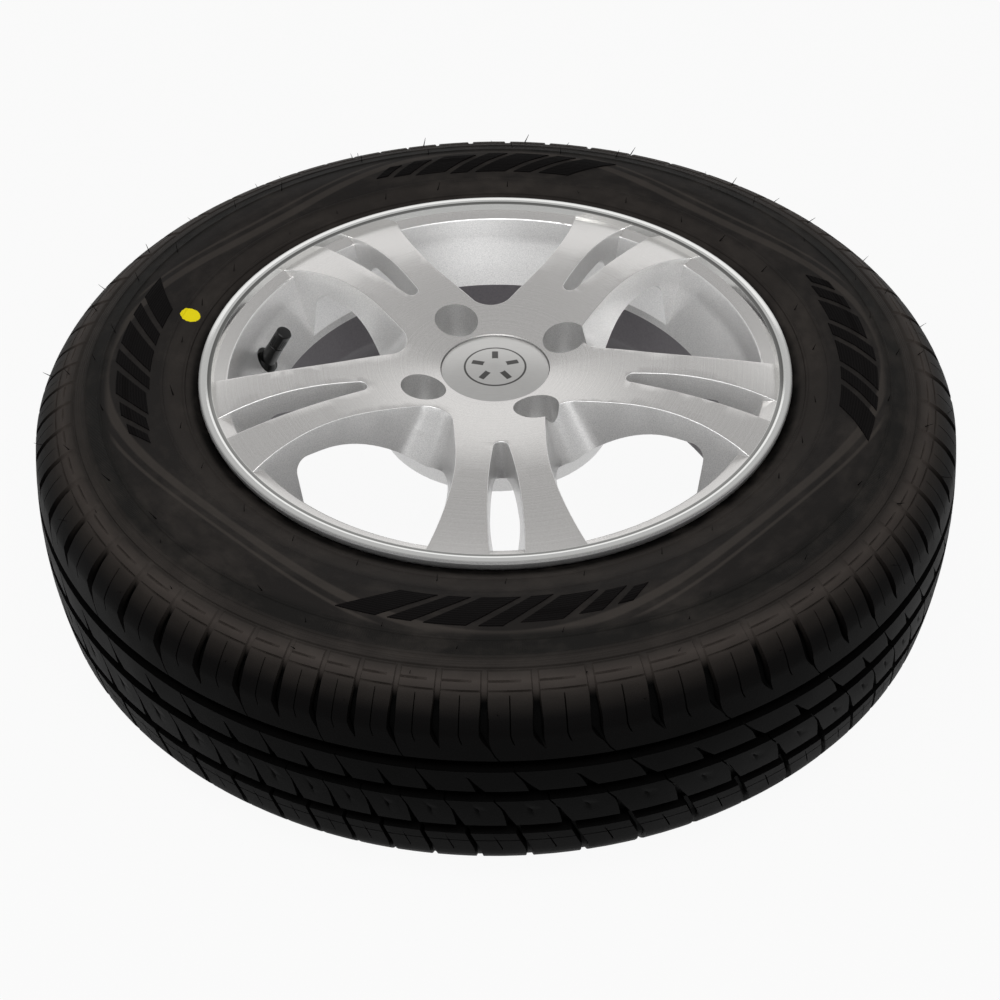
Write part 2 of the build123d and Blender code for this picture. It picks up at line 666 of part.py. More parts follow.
def crown_r(z):
    """Radius of the tread's crown at a height."""
    return TYRE_R - (TYRE_R - TREAD_EDGE_R) * (z / TREAD_HALF) ** 2


def side_ring(place):
    """Round ring on the tyre's side, at a point of its section."""
    return revolve(Plane.XZ * (Pos(place) * Circle(RIDGE_R)), Axis.Z)


def tyre_carcass():
    """Hollow tyre, open at the beads, with a smooth crown."""
    hug = curl(52, BEAD_GAP)
    toe_z = FLANGE_Z - BEAD_WIDTH
    heel = (SEAT_R + BEAD_GAP, FLANGE_Z - BEAD_GAP)
    wall_top = (SHOULDER_R, SHOULDER_Z)
    tread_edge = (TREAD_EDGE_R, TREAD_HALF)
    side = Spline(
        hug,
        (FLANGE_R + 5, FLANGE_Z + 6.5),
        (LOWER_R, LOWER_Z),
        (BELLY_R, TYRE_HALF),
        wall_top,
    )
    bulge = ((SHOULDER_R + TREAD_EDGE_R) / 2 + SHOULDER_BULGE_R, (SHOULDER_Z + TREAD_HALF) / 2 + SHOULDER_BULGE_Z)
    shoulder = ThreePointArc(wall_top, bulge, tread_edge)
    crown = ThreePointArc(tread_edge, (TYRE_R, 0), (TREAD_EDGE_R, -TREAD_HALF))
    liner_half = [
        (FLANGE_R - 2, FLANGE_Z - BEAD_WIDTH + 5),
        (LOWER_R, LOWER_Z - SIDEWALL - 2.0),
        (BELLY_R + 2, TYRE_HALF - SIDEWALL),
        (SHOULDER_R - 6, SHOULDER_Z - SIDEWALL - 4),
        (TREAD_EDGE_R - TREAD_THICKNESS, TREAD_HALF - 4),
    ]
    liner_end = liner_half[-1]
    liner_side = Spline(*liner_half)
    liner_crown = ThreePointArc(
        liner_end,
        (TYRE_R - TREAD_THICKNESS, 0),
        (liner_end[0], -liner_end[1]),
    )
    bead = Polyline(
        liner_half[0],
        (seat_r(BEAD_WIDTH) + 3.0, toe_z),
        (seat_r(BEAD_WIDTH) + BEAD_GAP, toe_z),
        heel,
        curl(0, BEAD_GAP),
    )
    grip = ThreePointArc(curl(0, BEAD_GAP), curl(26, BEAD_GAP), hug)
    upper = [liner_side, bead, grip, side, shoulder]
    lower = [mirror(edge, Plane.XZ) for edge in upper]
    face = make_face(upper + [crown] + lower + [liner_crown])
    heels = [v for v in face.vertices() if hypot(v.X - heel[0], abs(v.Y) - heel[1]) < 1e-4]
    face = fillet(heels, HEEL_R - BEAD_GAP)
    ridges = [side_ring(side @ place) for place in RIDGE_PLACES]
    line = side_ring(side @ LINE_PLACE)
    cover = revolve(Plane.XZ * face, Axis.Z) + ridges + [mirror(ridge, Plane.XY) for ridge in ridges]
    return cover - [line, mirror(line, Plane.XY)]


def ring_groove(centre):
    """Groove round the tread."""
    top = crown_r(centre) + 2
    floor = crown_r(centre) - GROOVE_DEPTH
    return turned([
        (top, centre + GROOVE_WIDTH / 2),
        (floor, centre + GROOVE_FLOOR / 2),
        (floor, centre - GROOVE_FLOOR / 2),
        (top, centre - GROOVE_WIDTH / 2),
    ])


def pitch_angle(place):
    """Direction of a place on the tread, counted in pitches, whose lengths vary in a slow wave."""
    turn = 360 * place / PITCHES
    sway = degrees(PITCH_SPREAD / PITCH_WAVES) * (1 - cos(radians(PITCH_WAVES * turn)))
    return FIRST_GROOVE + turn + sway


def shoulder_cut(side):
    """Tapered groove across a shoulder block, along a floor that follows the shoulder."""
    top = (SHOULDER_R - 1.0, SHOULDER_Z + 2.0)
    foot = (crown_r(SHOULDER_CUT_Z) - SHOULDER_CUT_DEPTH + 1.0, SHOULDER_CUT_Z)
    run = hypot(top[0] - foot[0], top[1] - foot[1])
    slope = degrees(atan2(foot[0] - top[0], top[1] - foot[1]))
    belly = run * SHOULDER_CUT_BELLY
    tip = (SHOULDER_CUT_TAIL, -SHOULDER_CUT_TAIL)
    right = TangentArc((SHOULDER_CUT_WIDE / 2, belly), (tip[0] + SHOULDER_CUT_FOOT, tip[1]), tangent=(0, -1))
    left = TangentArc((-SHOULDER_CUT_WIDE / 2, belly), tip, tangent=(0, -1))
    blade = Polyline(left @ 0, (-SHOULDER_CUT_TOP / 2, run), (SHOULDER_CUT_TOP / 2, run), right @ 0)
    shape = make_face([left, Line(left @ 1, right @ 1), right, blade])
    floor = Plane(origin=(0, 0, 0), x_dir=(0, 1, 0), z_dir=(1, 0, 0))
    cut = extrude(floor * shape, 24)
    placed = Pos(foot[0], 0, foot[1]) * Rot(0, -slope, 0) * cut
    return placed if side > 0 else mirror(placed, Plane.XY)


def rib_cut(mouth_z):
    """Slanted groove across a rib, wide where it opens into the groove below."""
    lean = RIB_CUT_LEAN
    shape = make_face(Polyline(
        (-RIB_CUT_WIDE / 2, -1.5),
        (RIB_CUT_WIDE / 2, -1.5),
        (RIB_CUT_THIN / 2 - lean * 0.45, RIB_CUT_LENGTH * 0.55),
        (RIB_CUT_THIN / 2 - lean, RIB_CUT_LENGTH),
        (-RIB_CUT_THIN / 2 - lean, RIB_CUT_LENGTH),
        (-RIB_CUT_THIN - lean * 0.45, RIB_CUT_LENGTH * 0.55),
        close=True,
    ))
    floor = Plane(origin=(TYRE_R - RIB_CUT_DEPTH, 0, mouth_z), x_dir=(0, 1, 0), z_dir=(1, 0, 0))
    return extrude(floor * shape, 12)


def tyre():
    """Tyre with its block pattern cut pitch by pitch, then the grooves round the tread."""
    rows = [(shoulder_cut(1), 0.0), (shoulder_cut(-1), LOWER_PHASE)]
    for centre, phase in zip(GROOVE_CENTRES[1:], RIB_PHASES):
        rows.append((rib_cut(centre + GROOVE_WIDTH / 2), phase))
    cover = tyre_carcass()
    for cutter, phase in rows:
        cover -= [Rot(0, 0, pitch_angle(i + phase)) * cutter for i in range(PITCHES)]
    return cover - [ring_groove(centre) for centre in GROOVE_CENTRES]


PIECES = {
    "tyre": tyre,
    "alloy_wheel": alloy_wheel,
    "centre_cap": centre_cap,
    "cap_spring_ring": cap_spring_ring,
    "valve_body": valve_body,
    "valve_stem": valve_stem,
    "valve_core_plug": valve_core_plug,
    "valve_core_barrel": valve_core_barrel,
    "valve_core_seal": valve_core_seal,
    "valve_core_pin": valve_core_pin,
    "valve_core_spring": valve_core_spring,
    "valve_core_cup": valve_core_cup,
    "valve_core_washer": valve_core_washer,
    "valve_cap": valve_cap,
    "valve_cap_seal": valve_cap_seal,
}


def main():
    os.makedirs("parts", exist_ok=True)
    for name, make in PIECES.items():
        export_step(make(), f"parts/{name}.step")


main()
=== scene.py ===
# %% [markdown]
# # A road wheel with its tyre
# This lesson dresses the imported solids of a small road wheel: a radial tyre on a cast
# alloy wheel, lying flat with its outboard face up. The solids are the fixed frame.
# Every piece made here is in metres in that same frame, so nothing has to be fitted:
# Z is the wheel's axis, and the rim's mid-plane is z = 0.

# %% Load the frame
from math import cos, pi, radians, sin, sqrt

import bmesh
import bpy
import numpy as np
from mathutils import Matrix, Vector


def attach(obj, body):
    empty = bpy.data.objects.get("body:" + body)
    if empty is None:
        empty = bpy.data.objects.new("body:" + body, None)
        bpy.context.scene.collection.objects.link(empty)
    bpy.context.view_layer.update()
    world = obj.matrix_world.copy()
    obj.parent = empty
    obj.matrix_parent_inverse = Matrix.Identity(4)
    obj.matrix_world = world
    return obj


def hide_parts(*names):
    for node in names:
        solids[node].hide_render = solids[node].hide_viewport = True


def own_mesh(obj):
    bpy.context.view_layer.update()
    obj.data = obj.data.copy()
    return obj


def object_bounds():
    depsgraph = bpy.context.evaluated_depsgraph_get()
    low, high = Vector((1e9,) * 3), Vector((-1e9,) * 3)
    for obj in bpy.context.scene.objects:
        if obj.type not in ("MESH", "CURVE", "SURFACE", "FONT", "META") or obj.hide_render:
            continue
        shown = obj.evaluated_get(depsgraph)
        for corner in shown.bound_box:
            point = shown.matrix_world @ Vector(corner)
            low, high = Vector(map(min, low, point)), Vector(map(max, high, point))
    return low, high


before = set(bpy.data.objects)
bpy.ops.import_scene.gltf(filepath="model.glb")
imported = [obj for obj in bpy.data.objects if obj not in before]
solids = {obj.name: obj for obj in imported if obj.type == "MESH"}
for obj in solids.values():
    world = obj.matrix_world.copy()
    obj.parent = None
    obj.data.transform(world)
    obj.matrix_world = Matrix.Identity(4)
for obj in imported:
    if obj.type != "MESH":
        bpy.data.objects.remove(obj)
solid_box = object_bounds()
scene = bpy.context.scene
MM = 0.001
print("solids:", len(solids), "box in mm:", [[round(c / MM, 1) for c in corner] for corner in solid_box])

# %% [markdown]
# ## Four small helpers
# Colours are written as sRGB hex codes, as a paint chart gives them, and one function
# turns them into the linear values that Blender works with. A second one fills a node's
# inputs, with plain values or with links from other nodes, and a third adds one node to
# any node tree, with its settings and inputs. Every tree below is made with them. The
# fourth puts an object into the scene.

# %% Helpers
MATH, RANGE, MIX = "ShaderNodeMath", "ShaderNodeMapRange", "ShaderNodeMix"
NOISE, BUMP, JOIN = "ShaderNodeTexNoise", "ShaderNodeBump", "ShaderNodeCombineXYZ"
COORDINATES, DRAW = "ShaderNodeTexCoord", "FunctionNodeRandomValue"


def linear(code):
    """Linear colour of an sRGB hex code."""
    parts = [int(code[i:i + 2], 16) / 255 for i in (0, 2, 4)]
    return [c / 12.92 if c <= 0.04045 else ((c + 0.055) / 1.055) ** 2.4 for c in parts] + [1.0]


def fill(tree, node, sockets):
    """Fills a node's inputs: with plain values, outputs, or nodes for their first outputs."""
    for name, value in sockets.items():
        if isinstance(value, bpy.types.Node):
            value = value.outputs[0]
        if isinstance(value, bpy.types.NodeSocket):
            tree.links.new(value, node.inputs[name])
        else:
            node.inputs[name].default_value = value


def put(tree, kind, sockets=None, **settings):
    """Adds one node with its settings and fills its inputs."""
    made = tree.nodes.new(kind)
    for name, value in settings.items():
        setattr(made, name, value)
    fill(tree, made, sockets or {})
    return made


def linked(name, data):
    """A new object in the scene, with its data."""
    made = bpy.data.objects.new(name, data)
    scene.collection.objects.link(made)
    return made


print("mid grey in linear light:", [round(c, 3) for c in linear("808080")])

# %% [markdown]
# ## The camera
# The photograph was taken from about 1.25 m, looking down at 40 degrees with a lens a
# little longer than normal. The wheel's centre sits slightly left of the middle and
# above it, which the lens shift gives without turning the camera.

# %% Camera
CAMERA_DISTANCE = 1.246
CAMERA_ELEVATION = radians(40.36)
CAMERA_ROLL = radians(-0.61)
CAMERA_LENS = 70.0
CENTRE_IN_PHOTO = (0.49605, 0.45082)

back = Vector((0, -cos(CAMERA_ELEVATION), sin(CAMERA_ELEVATION)))
camera_data = bpy.data.cameras.new("photo_camera")
camera_data.sensor_width = 36
camera_data.lens = CAMERA_LENS
camera_data.shift_x = 0.5 - CENTRE_IN_PHOTO[0]
camera_data.shift_y = CENTRE_IN_PHOTO[1] - 0.5
camera = linked("photo_camera", camera_data)
turn = back.to_track_quat("Z", "Y").to_matrix() @ Matrix.Rotation(CAMERA_ROLL, 3, "Z")
camera.matrix_world = Matrix.Translation(back * CAMERA_DISTANCE) @ turn.to_4x4()
scene.camera = camera
scene.view_settings.view_transform = "Standard"
print("camera at", [round(c, 3) for c in camera.matrix_world.translation])

# %% [markdown]
# ## Floor and studio light
# The wheel lies on a plain white floor. Most of the floor's white comes from its own
# colour, seen by the camera and in reflections, so that the lamps can stay at a plain
# level; what is left of the floor's shading keeps the soft shadow under the tyre.
# White screens stand far off behind and beside it, and the turned metal mirrors them; the
# room above is greyer, so the spokes darken where they bend up to it. One wide soft lamp
# hangs above, a little to the front, a weaker one stands in front, and the grey room
# fills the rest.

# %% Floor
FLOOR_WHITE = 0.94
FLOOR_HALF, SCREEN_AT, SCREEN_FRONT, SCREEN_TOP = 6.0, 3.0, -1.0, 2.1     # m
FLOOR_GAP = 0.2 * MM
floor_paint = bpy.data.materials.new("floor_white")
floor_paint.use_nodes = True
tree = floor_paint.node_tree
tree.nodes.clear()
matt = put(tree, "ShaderNodeBsdfDiffuse", {"Color": linear("9a9a98")})
glow = put(tree, "ShaderNodeEmission", {"Color": (1, 1, 1, 1), "Strength": 1.0})
# one for camera, glossy and transmission rays, and zero for diffuse ones
path = put(tree, "ShaderNodeLightPath").outputs
mirror = put(tree, MATH, {0: path["Is Camera Ray"], 1: path["Is Glossy Ray"]}, operation="MAXIMUM")
clear = put(tree, MATH, {0: mirror, 1: path["Is Transmission Ray"]}, operation="MAXIMUM")
share = put(tree, MATH, {0: clear, 1: FLOOR_WHITE}, operation="MULTIPLY")
mix = put(tree, "ShaderNodeMixShader", {0: share, 1: matt, 2: glow})
put(tree, "ShaderNodeOutputMaterial", {"Surface": mix})

floor_z = solid_box[0].z - FLOOR_GAP
corners = [(x * FLOOR_HALF, y * FLOOR_HALF, floor_z) for x, y in ((-1, -1), (1, -1), (1, 1), (-1, 1))]
for z in (floor_z, SCREEN_TOP):
    corners += [(SCREEN_AT, SCREEN_FRONT, z), (SCREEN_AT, SCREEN_AT, z), (-SCREEN_AT, SCREEN_AT, z),
                (-SCREEN_AT, SCREEN_FRONT, z)]
floor_mesh = bpy.data.meshes.new("floor")
floor_mesh.from_pydata(corners, [], [(0, 1, 2, 3), (4, 8, 9, 5), (5, 9, 10, 6), (6, 10, 11, 7)])
floor_mesh.materials.append(floor_paint)
floor = linked("floor", floor_mesh)
print("floor at", round(floor_z / MM, 1), "mm")

# %% Light
ROOM_LIGHT = 0.5
world = bpy.data.worlds.new("studio")
scene.world = world
world.use_nodes = True
tree = world.node_tree
tree.nodes.clear()
sky = put(tree, "ShaderNodeBackground", {"Color": (1, 1, 1, 1), "Strength": ROOM_LIGHT})
put(tree, "ShaderNodeOutputWorld", {"Surface": sky})

# name, place, width and depth, watts
LAMPS = (
    ("top_softbox", (-0.15, -0.75, 1.6), (1.5, 0.7), 18.0),
    ("front_fill", (0.3, -1.9, 0.8), (0.9, 0.6), 2.0),
)
for name, place, size, watts in LAMPS:
    data = bpy.data.lights.new(name, "AREA")
    data.shape = "RECTANGLE"
    data.size, data.size_y = size
    data.energy = watts
    lamp = linked(name, data)
    lamp.location = place
    lamp.rotation_euler = (-Vector(place)).to_track_quat("-Z", "Y").to_euler()
print("lamps:", [lamp[0] for lamp in LAMPS])

# %% [markdown]
# ## Turned coordinates
# Almost every pattern on a wheel follows its axis: turning marks run round it, and the
# hatching on a tyre's side points at it. One node group turns object coordinates into
# a radius and an angle, in millimetres and degrees, for all the materials.

# %% Turned coordinates
turned = bpy.data.node_groups.new("turned_coordinates", "ShaderNodeTree")
for name in ("Radius", "Angle"):
    turned.interface.new_socket(name, in_out="OUTPUT", socket_type="NodeSocketFloat")
place = put(turned, COORDINATES).outputs["Object"]
flat = put(turned, "ShaderNodeVectorMath", {0: place, 1: (1 / MM, 1 / MM, 0)}, operation="MULTIPLY")
reach = put(turned, "ShaderNodeVectorMath", {0: flat}, operation="LENGTH")
split = put(turned, "ShaderNodeSeparateXYZ", {0: place})
around = put(turned, MATH, {0: split.outputs[1], 1: split.outputs[0]}, operation="ARCTAN2")
degree = put(turned, MATH, {0: around}, operation="DEGREES")
put(turned, "NodeGroupOutput", {0: reach.outputs["Value"], 1: degree})
print("turned coordinates give", [s.name for s in turned.interface.items_tree])


def material(name):
    """A new material with an empty tree, its shader and its output."""
    made = bpy.data.materials.new(name)
    made.use_nodes = True
    tree = made.node_tree
    tree.nodes.clear()
    shader = put(tree, "ShaderNodeBsdfPrincipled")
    put(tree, "ShaderNodeOutputMaterial", {"Surface": shader})
    return made, tree, shader


def between(tree, value, low, high, soft):
    """One where a value lies between two limits, falling to zero over a soft end."""
    rise = put(tree, RANGE, {"Value": value, "From Min": low - soft, "From Max": low + soft})
    fall = put(tree, RANGE, {"Value": value, "From Min": high + soft, "From Max": high - soft})
    return put(tree, MATH, {0: rise, 1: fall}, operation="MULTIPLY")


def ramp_of(tree, value, zones):
    """Colour that follows a value through a list of values and sRGB codes."""
    first, last = zones[0][0], zones[-1][0]
    share = put(tree, RANGE, {"Value": value, "From Min": first, "From Max": last})
    ramp = put(tree, "ShaderNodeValToRGB", {0: share})
    stops = ramp.color_ramp.elements
    while len(stops) < len(zones):
        stops.new(0.5)
    for stop, (at, code) in zip(stops, zones):
        stop.position = (at - first) / (last - first)
        stop.color = linear(code)
    return ramp


# %% [markdown]
# ## The cast wheel's finishes
# The wheel is cast in aluminium and sprayed with silver lacquer. Its face is then
# turned on a lathe, which leaves bare bright metal with fine rings round the axis, and
# the lip is turned finer still, almost to a mirror; its darker rings are painted
# reflection. The barrel behind the spokes is silver too, but lies in shade, so its
# colour there is painted shade: darker grey, half matt. So there are four finishes:
# silver lacquer with small flakes, turned aluminium, polished aluminium and the
# barrel's painted shade.

# %% Silver lacquer: aluminium flakes under clear lacquer, satin with a fine sparkle
FLAKE = 0.5 * MM            # real flakes are finer; drawn as coarse as the picture can show
ORANGE_PEEL = 4 * MM        # waves of the clear lacquer
silver_lacquer, tree, shader = material("silver_lacquer")
place = put(tree, COORDINATES).outputs["Object"]
flakes = put(tree, NOISE, {"Vector": place, "Scale": 1 / FLAKE, "Detail": 2.0})
tint = ramp_of(tree, flakes, ((0.25, "c2c2c2"), (0.75, "f0efee")))
orange_peel = put(tree, NOISE, {"Vector": place, "Scale": 1 / ORANGE_PEEL, "Detail": 1.0})
height = put(tree, MATH, {0: flakes, 1: orange_peel}, operation="ADD")
bump = put(tree, BUMP, {"Height": height, "Strength": 0.12, "Distance": 0.1 * MM})
fill(tree, shader, {
    "Base Color": tint, "Normal": bump, "Metallic": 0.7, "Roughness": 0.36, "Coat Weight": 0.25,
    "Coat Roughness": 0.15})

# %% Turned aluminium: bare metal with the tool's rings, soft streaks round the axis
RING_STEP = 0.8             # mm; a lathe leaves about 0.2, drawn coarser to show
METAL_GRAIN = 0.9 * MM
turned_aluminium, tree, shader = material("turned_aluminium")
polar = put(tree, "ShaderNodeGroup", node_tree=turned).outputs
place = put(tree, COORDINATES).outputs["Object"]
rings = put(tree, NOISE, {"W": polar["Radius"], "Scale": 1 / RING_STEP, "Detail": 3.0},
            noise_dimensions="1D")
grain = put(tree, NOISE, {"Vector": place, "Scale": 1 / METAL_GRAIN, "Detail": 2.0})
both = put(tree, MATH, {0: rings, 1: grain}, operation="ADD")
tint = put(tree, RANGE, {"Value": both, "From Min": 0.6, "From Max": 1.4})
colour = put(tree, MIX, {0: tint, 6: linear("d6d4d2"), 7: linear("e4e2e0")}, data_type="RGBA")
bump = put(tree, BUMP, {"Height": rings, "Strength": 0.25, "Distance": 0.05 * MM})
fill(tree, shader, {"Base Color": colour.outputs[2], "Normal": bump, "Metallic": 1.0, "Roughness": 0.27})

# %% Polished aluminium: the lip, turned fine and lacquered, almost a mirror, with painted dark reflections in rings
LIP_TONES_AND_PAINTED_REFLECTIONS = (               # radius in mm, and the metal's colour on the curve of the lip there; the dark bands are painted reflection of the dark tyre and painted shade of the lip's step
    (173.0, "f0f0ee"), (174.0, "eeeeec"), (174.4, "8e8e8c"), (176.3, "7a7a78"), (176.7, "f2f2f0"),
    (180.2, "f2f2f0"), (181.8, "9a9a98"))
LIP_STEP = 0.6              # mm between the fine rings
polished_aluminium, tree, shader = material("polished_aluminium")
polar = put(tree, "ShaderNodeGroup", node_tree=turned).outputs
# colour by radius, with the rings of painted reflection and painted shade
colour = ramp_of(tree, polar["Radius"], LIP_TONES_AND_PAINTED_REFLECTIONS)
rings = put(tree, NOISE, {"W": polar["Radius"], "Scale": 1 / LIP_STEP, "Detail": 2.0},
            noise_dimensions="1D")
bump = put(tree, BUMP, {"Height": rings, "Strength": 0.1, "Distance": 0.03 * MM})
gloss = put(tree, RANGE, {"Value": rings, "To Min": 0.05, "To Max": 0.13})
fill(tree, shader, {"Normal": bump, "Roughness": gloss, "Base Color": colour, "Metallic": 1.0})

# %% Painted shade inside the barrel: darker grey, half matt, with small specks
SPECK = 1.5 * MM
barrel_painted_shade, tree, shader = material("barrel_painted_shade")
place = put(tree, COORDINATES).outputs["Object"]
specks = put(tree, NOISE, {"Vector": place, "Scale": 1 / SPECK, "Detail": 2.0})
colour = put(tree, MIX, {0: specks, 6: linear("5c595d"), 7: linear("757175")}, data_type="RGBA")
fill(tree, shader, {"Base Color": colour.outputs[2], "Metallic": 0.35, "Roughness": 0.55})
WHEEL_FINISHES = (silver_lacquer, turned_aluminium, polished_aluminium, barrel_painted_shade)
print("wheel finishes:", [finish.name for finish in WHEEL_FINISHES])

# %% [markdown]
# ## The cast wheel
# The solid already has the wheel's form, so the piece is a copy of it with its loose
# triangles merged. Edges sharper than about 30 degrees stay sharp, and the rest is
# shaded smooth. The finishes then follow the machining: whatever lies on the turned
# face gets turned aluminium, the lip gets the polish, the barrel its painted shade, and
# lacquer is left on the rest.

# %% Copy of the cast wheel
SHARP = radians(28)
SAME_CORNER, SLIVER = 2e-6, 1e-7     # m


def merged_copy(node, name):
    """A copy of a solid's mesh with merged corners, smooth but for its sharp edges."""
    mesh = solids[node].data.copy()
    mesh.name = name
    mesh.materials.clear()
    work = bmesh.new()
    work.from_mesh(mesh)
    bmesh.ops.remove_doubles(work, verts=work.verts, dist=SAME_CORNER)
    bmesh.ops.dissolve_degenerate(work, edges=work.edges, dist=SLIVER)
    for face in work.faces:
        face.smooth = True
    for edge in work.edges:
        edge.smooth = edge.is_manifold and edge.calc_face_angle(0) < SHARP
    work.to_mesh(mesh)
    work.free()
    return linked(name, mesh)


def in_place(piece, body, slot, *nodes):
    """The finished piece rides on a body and stands for its solids."""
    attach(piece, body)
    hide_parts(*nodes)


HUB_FACE = (33.9, 68.0)
SPOKE_TOP = (107.0, 79.0)
SPOKE_END = (172.9, 70.0)
FACE_MID = (68.0, 75.3)


def circle_through(a, b, c):
    """Centre and radius of the circle through three points of a section."""
    a, b, c = np.array((a, b, c), float)
    centre = np.linalg.solve((b - a, c - a), np.array((b @ b - a @ a, c @ c - a @ a)) / 2)
    return centre, float(np.hypot(*(a - centre)))


def face_height(r):
    """Height of the turned face at a radius: two arcs that meet at the highest part."""
    rise, rise_r = circle_through(HUB_FACE, FACE_MID, SPOKE_TOP)
    slope = -(SPOKE_TOP[0] - rise[0]) / (SPOKE_TOP[1] - rise[1])
    run, drop = SPOKE_END[0] - SPOKE_TOP[0], SPOKE_END[1] - SPOKE_TOP[1]
    normal = np.array([slope, -1.0]) / sqrt(1 + slope ** 2)
    fall_r = (run ** 2 + drop ** 2) / (2 * (run * normal[0] + drop * normal[1]))
    fall = np.array(SPOKE_TOP) + normal * fall_r
    inner = rise[1] + np.sqrt(np.maximum(rise_r ** 2 - (r - rise[0]) ** 2, 0))
    outer = fall[1] + np.sqrt(np.maximum(fall_r ** 2 - (r - fall[0]) ** 2, 0))
    return np.where(r < SPOKE_TOP[0], inner, outer)


LIP_INNER_R = 173.2
BAND_INNER_R = 164.8        # the turned ring that the spokes end on
FLANGE_EDGE_R = 179.0       # outside of the lip, which the lathe leaves in lacquer
UPPER_RIM_Z = 64.0
BOWL_FOOT, BARREL_R = 29.5, 110.0
FACE_NEAR = 0.12            # mm that a triangle's middle may lie off the turned face
wheel = merged_copy("alloy_wheel", "cast_wheel")
for finish in WHEEL_FINISHES:
    wheel.data.materials.append(finish)
polygons = wheel.data.polygons
centres = np.array([p.center for p in polygons]) / MM
normals = np.array([p.normal for p in polygons])
radii = np.hypot(centres[:, 0], centres[:, 1])
outwardness = (normals[:, :2] * centres[:, :2]).sum(1) / radii
near_face = np.abs(centres[:, 2] - face_height(radii)) < FACE_NEAR
on_face = near_face & (normals[:, 2] > 0.9) & (radii > HUB_FACE[0])
upper_rim = centres[:, 2] > UPPER_RIM_Z
on_edge = upper_rim & (radii > FLANGE_EDGE_R) & (outwardness > 0.5)
on_lip = upper_rim & (radii > LIP_INNER_R)
on_band = upper_rim & (radii > BAND_INNER_R) & (normals[:, 2] > 0.8)
in_barrel = (centres[:, 2] < BOWL_FOOT) & (radii > BARREL_R) & (outwardness < -0.2)
# numbers are places in the list of finishes
finish_index = np.select([on_edge, on_lip, on_band | on_face, in_barrel], [0, 2, 1, 3], 0).astype(np.int32)
polygons.foreach_set("material_index", finish_index)
in_place(wheel, "wheel", "cast_alloy", "alloy_wheel")
print("cast wheel:", len(polygons), "faces; turned", int(on_face.sum()), "polished", int(on_lip.sum()))

# %% [markdown]
# ## The tyre's section
# A tyre is moulded in one piece, so its whole surface is made as one closed skin. The
# section has the same points as the solid: the bead on the rim, the side up to the
# shoulder line, the crown, and the liner inside. A natural cubic spline runs through
# the side's points, and circles give the shoulder and the crown.

# %% Section of the tyre
TYRE_R = 287.0
TREAD_EDGE = (283.0, 48.0)
SHOULDER = (258.0, 71.0)
SIDE_POINTS = ((180.2, 66.97), (187.0, 70.0), (198.0, 73.5), (226.0, 78.0), SHOULDER)
CROWN, CROWN_BEND = circle_through(TREAD_EDGE, (TYRE_R, 0.0), (TREAD_EDGE[0], -TREAD_EDGE[1]))
ROUND, ROUND_BEND = circle_through(SHOULDER, (273.5, 61.7), TREAD_EDGE)


def spline_side(radius):
    """Height of the tyre's side at a radius, on a natural cubic spline."""
    x, y = np.array(SIDE_POINTS).T
    h = np.diff(x)
    n = len(x)
    a = np.eye(n)
    b = np.zeros(n)
    for i in range(1, n - 1):
        a[i, i - 1:i + 2] = h[i - 1], 2 * (h[i - 1] + h[i]), h[i]
        b[i] = 6 * ((y[i + 1] - y[i]) / h[i] - (y[i] - y[i - 1]) / h[i - 1])
    m = np.linalg.solve(a, b)
    i = int(np.clip(np.searchsorted(x, radius) - 1, 0, n - 2))
    s, t = x[i + 1] - radius, radius - x[i]
    bend = (m[i] * s ** 3 + m[i + 1] * t ** 3) / (6 * h[i])
    return float(bend + (y[i] / h[i] - m[i] * h[i] / 6) * s + (y[i + 1] / h[i] - m[i + 1] * h[i] / 6) * t)


def tread_radius(z):
    """Radius of the tread's surface at a height, over crown and shoulders."""
    if abs(z) <= TREAD_EDGE[1]:
        return CROWN[0] + sqrt(CROWN_BEND ** 2 - z ** 2)
    return ROUND[0] + sqrt(ROUND_BEND ** 2 - (abs(z) - ROUND[1]) ** 2)


print("section: crown", round(tread_radius(0), 1), "side at r 240", round(spline_side(240), 1))

# %% [markdown]
# ## The tread's pattern
# A tread repeats in pitches, but their lengths vary a little round the tyre so that it
# does not hum. Each pitch has one long groove that starts wide at the shoulder, thins
# to a tail, and goes on slanting across the ribs to the other shoulder. Every second
# pitch has the tail and a long cut in the middle rib, and the others a short one.
# So the pattern is drawn once, for two pitches, as a grid of rows over the section and
# columns along the tread. The columns bend with the groove, which gives it crisp walls
# with few faces. Widths and depths are read from short lists, height by height.

# %% Two pitches of the tread as a grid
PITCHES = 66
PITCH_LENGTH = 2 * pi * TYRE_R / PITCHES
RING_GROOVES = (27.0, 4.5, -24.0)
RING_HALF_TOP, RING_HALF_FLOOR, RING_DEPTH = 4.0, 3.0, 7.5

# height of the section, and the groove's place there in pitches
GROOVE_PATH = (
    (71.5, 0), (48, 0), (44, 0.035), (39, 0.125), (32.5, 0.24), (24, 0.54), (16.5, 0.73), (8.5, 0.92),
    (4.5, 1.09), (-6, 1.34), (-21, 1.52), (-25, 1.61), (-33, 1.71), (-42.5, 1.83), (-50, 1.87), (-71.5, 1.87))
PATH_END = GROOVE_PATH[-1][1]
# height, and the groove's width in mm
GROOVE_WIDTH = (
    (71.5, 4.6), (62.5, 4.2), (53.5, 5.6), (48, 5.2), (43, 3.2), (40, 1.4), (37.5, 0.8), (23, 0.8),
    (16.5, 1.4), (13.5, 2.4), (8.5, 5.2), (0.5, 0.8), (-6, 1.2), (-12.5, 2.4), (-20, 5.0), (-28, 3.0),
    (-43, 3.6), (-71.5, 4.6))
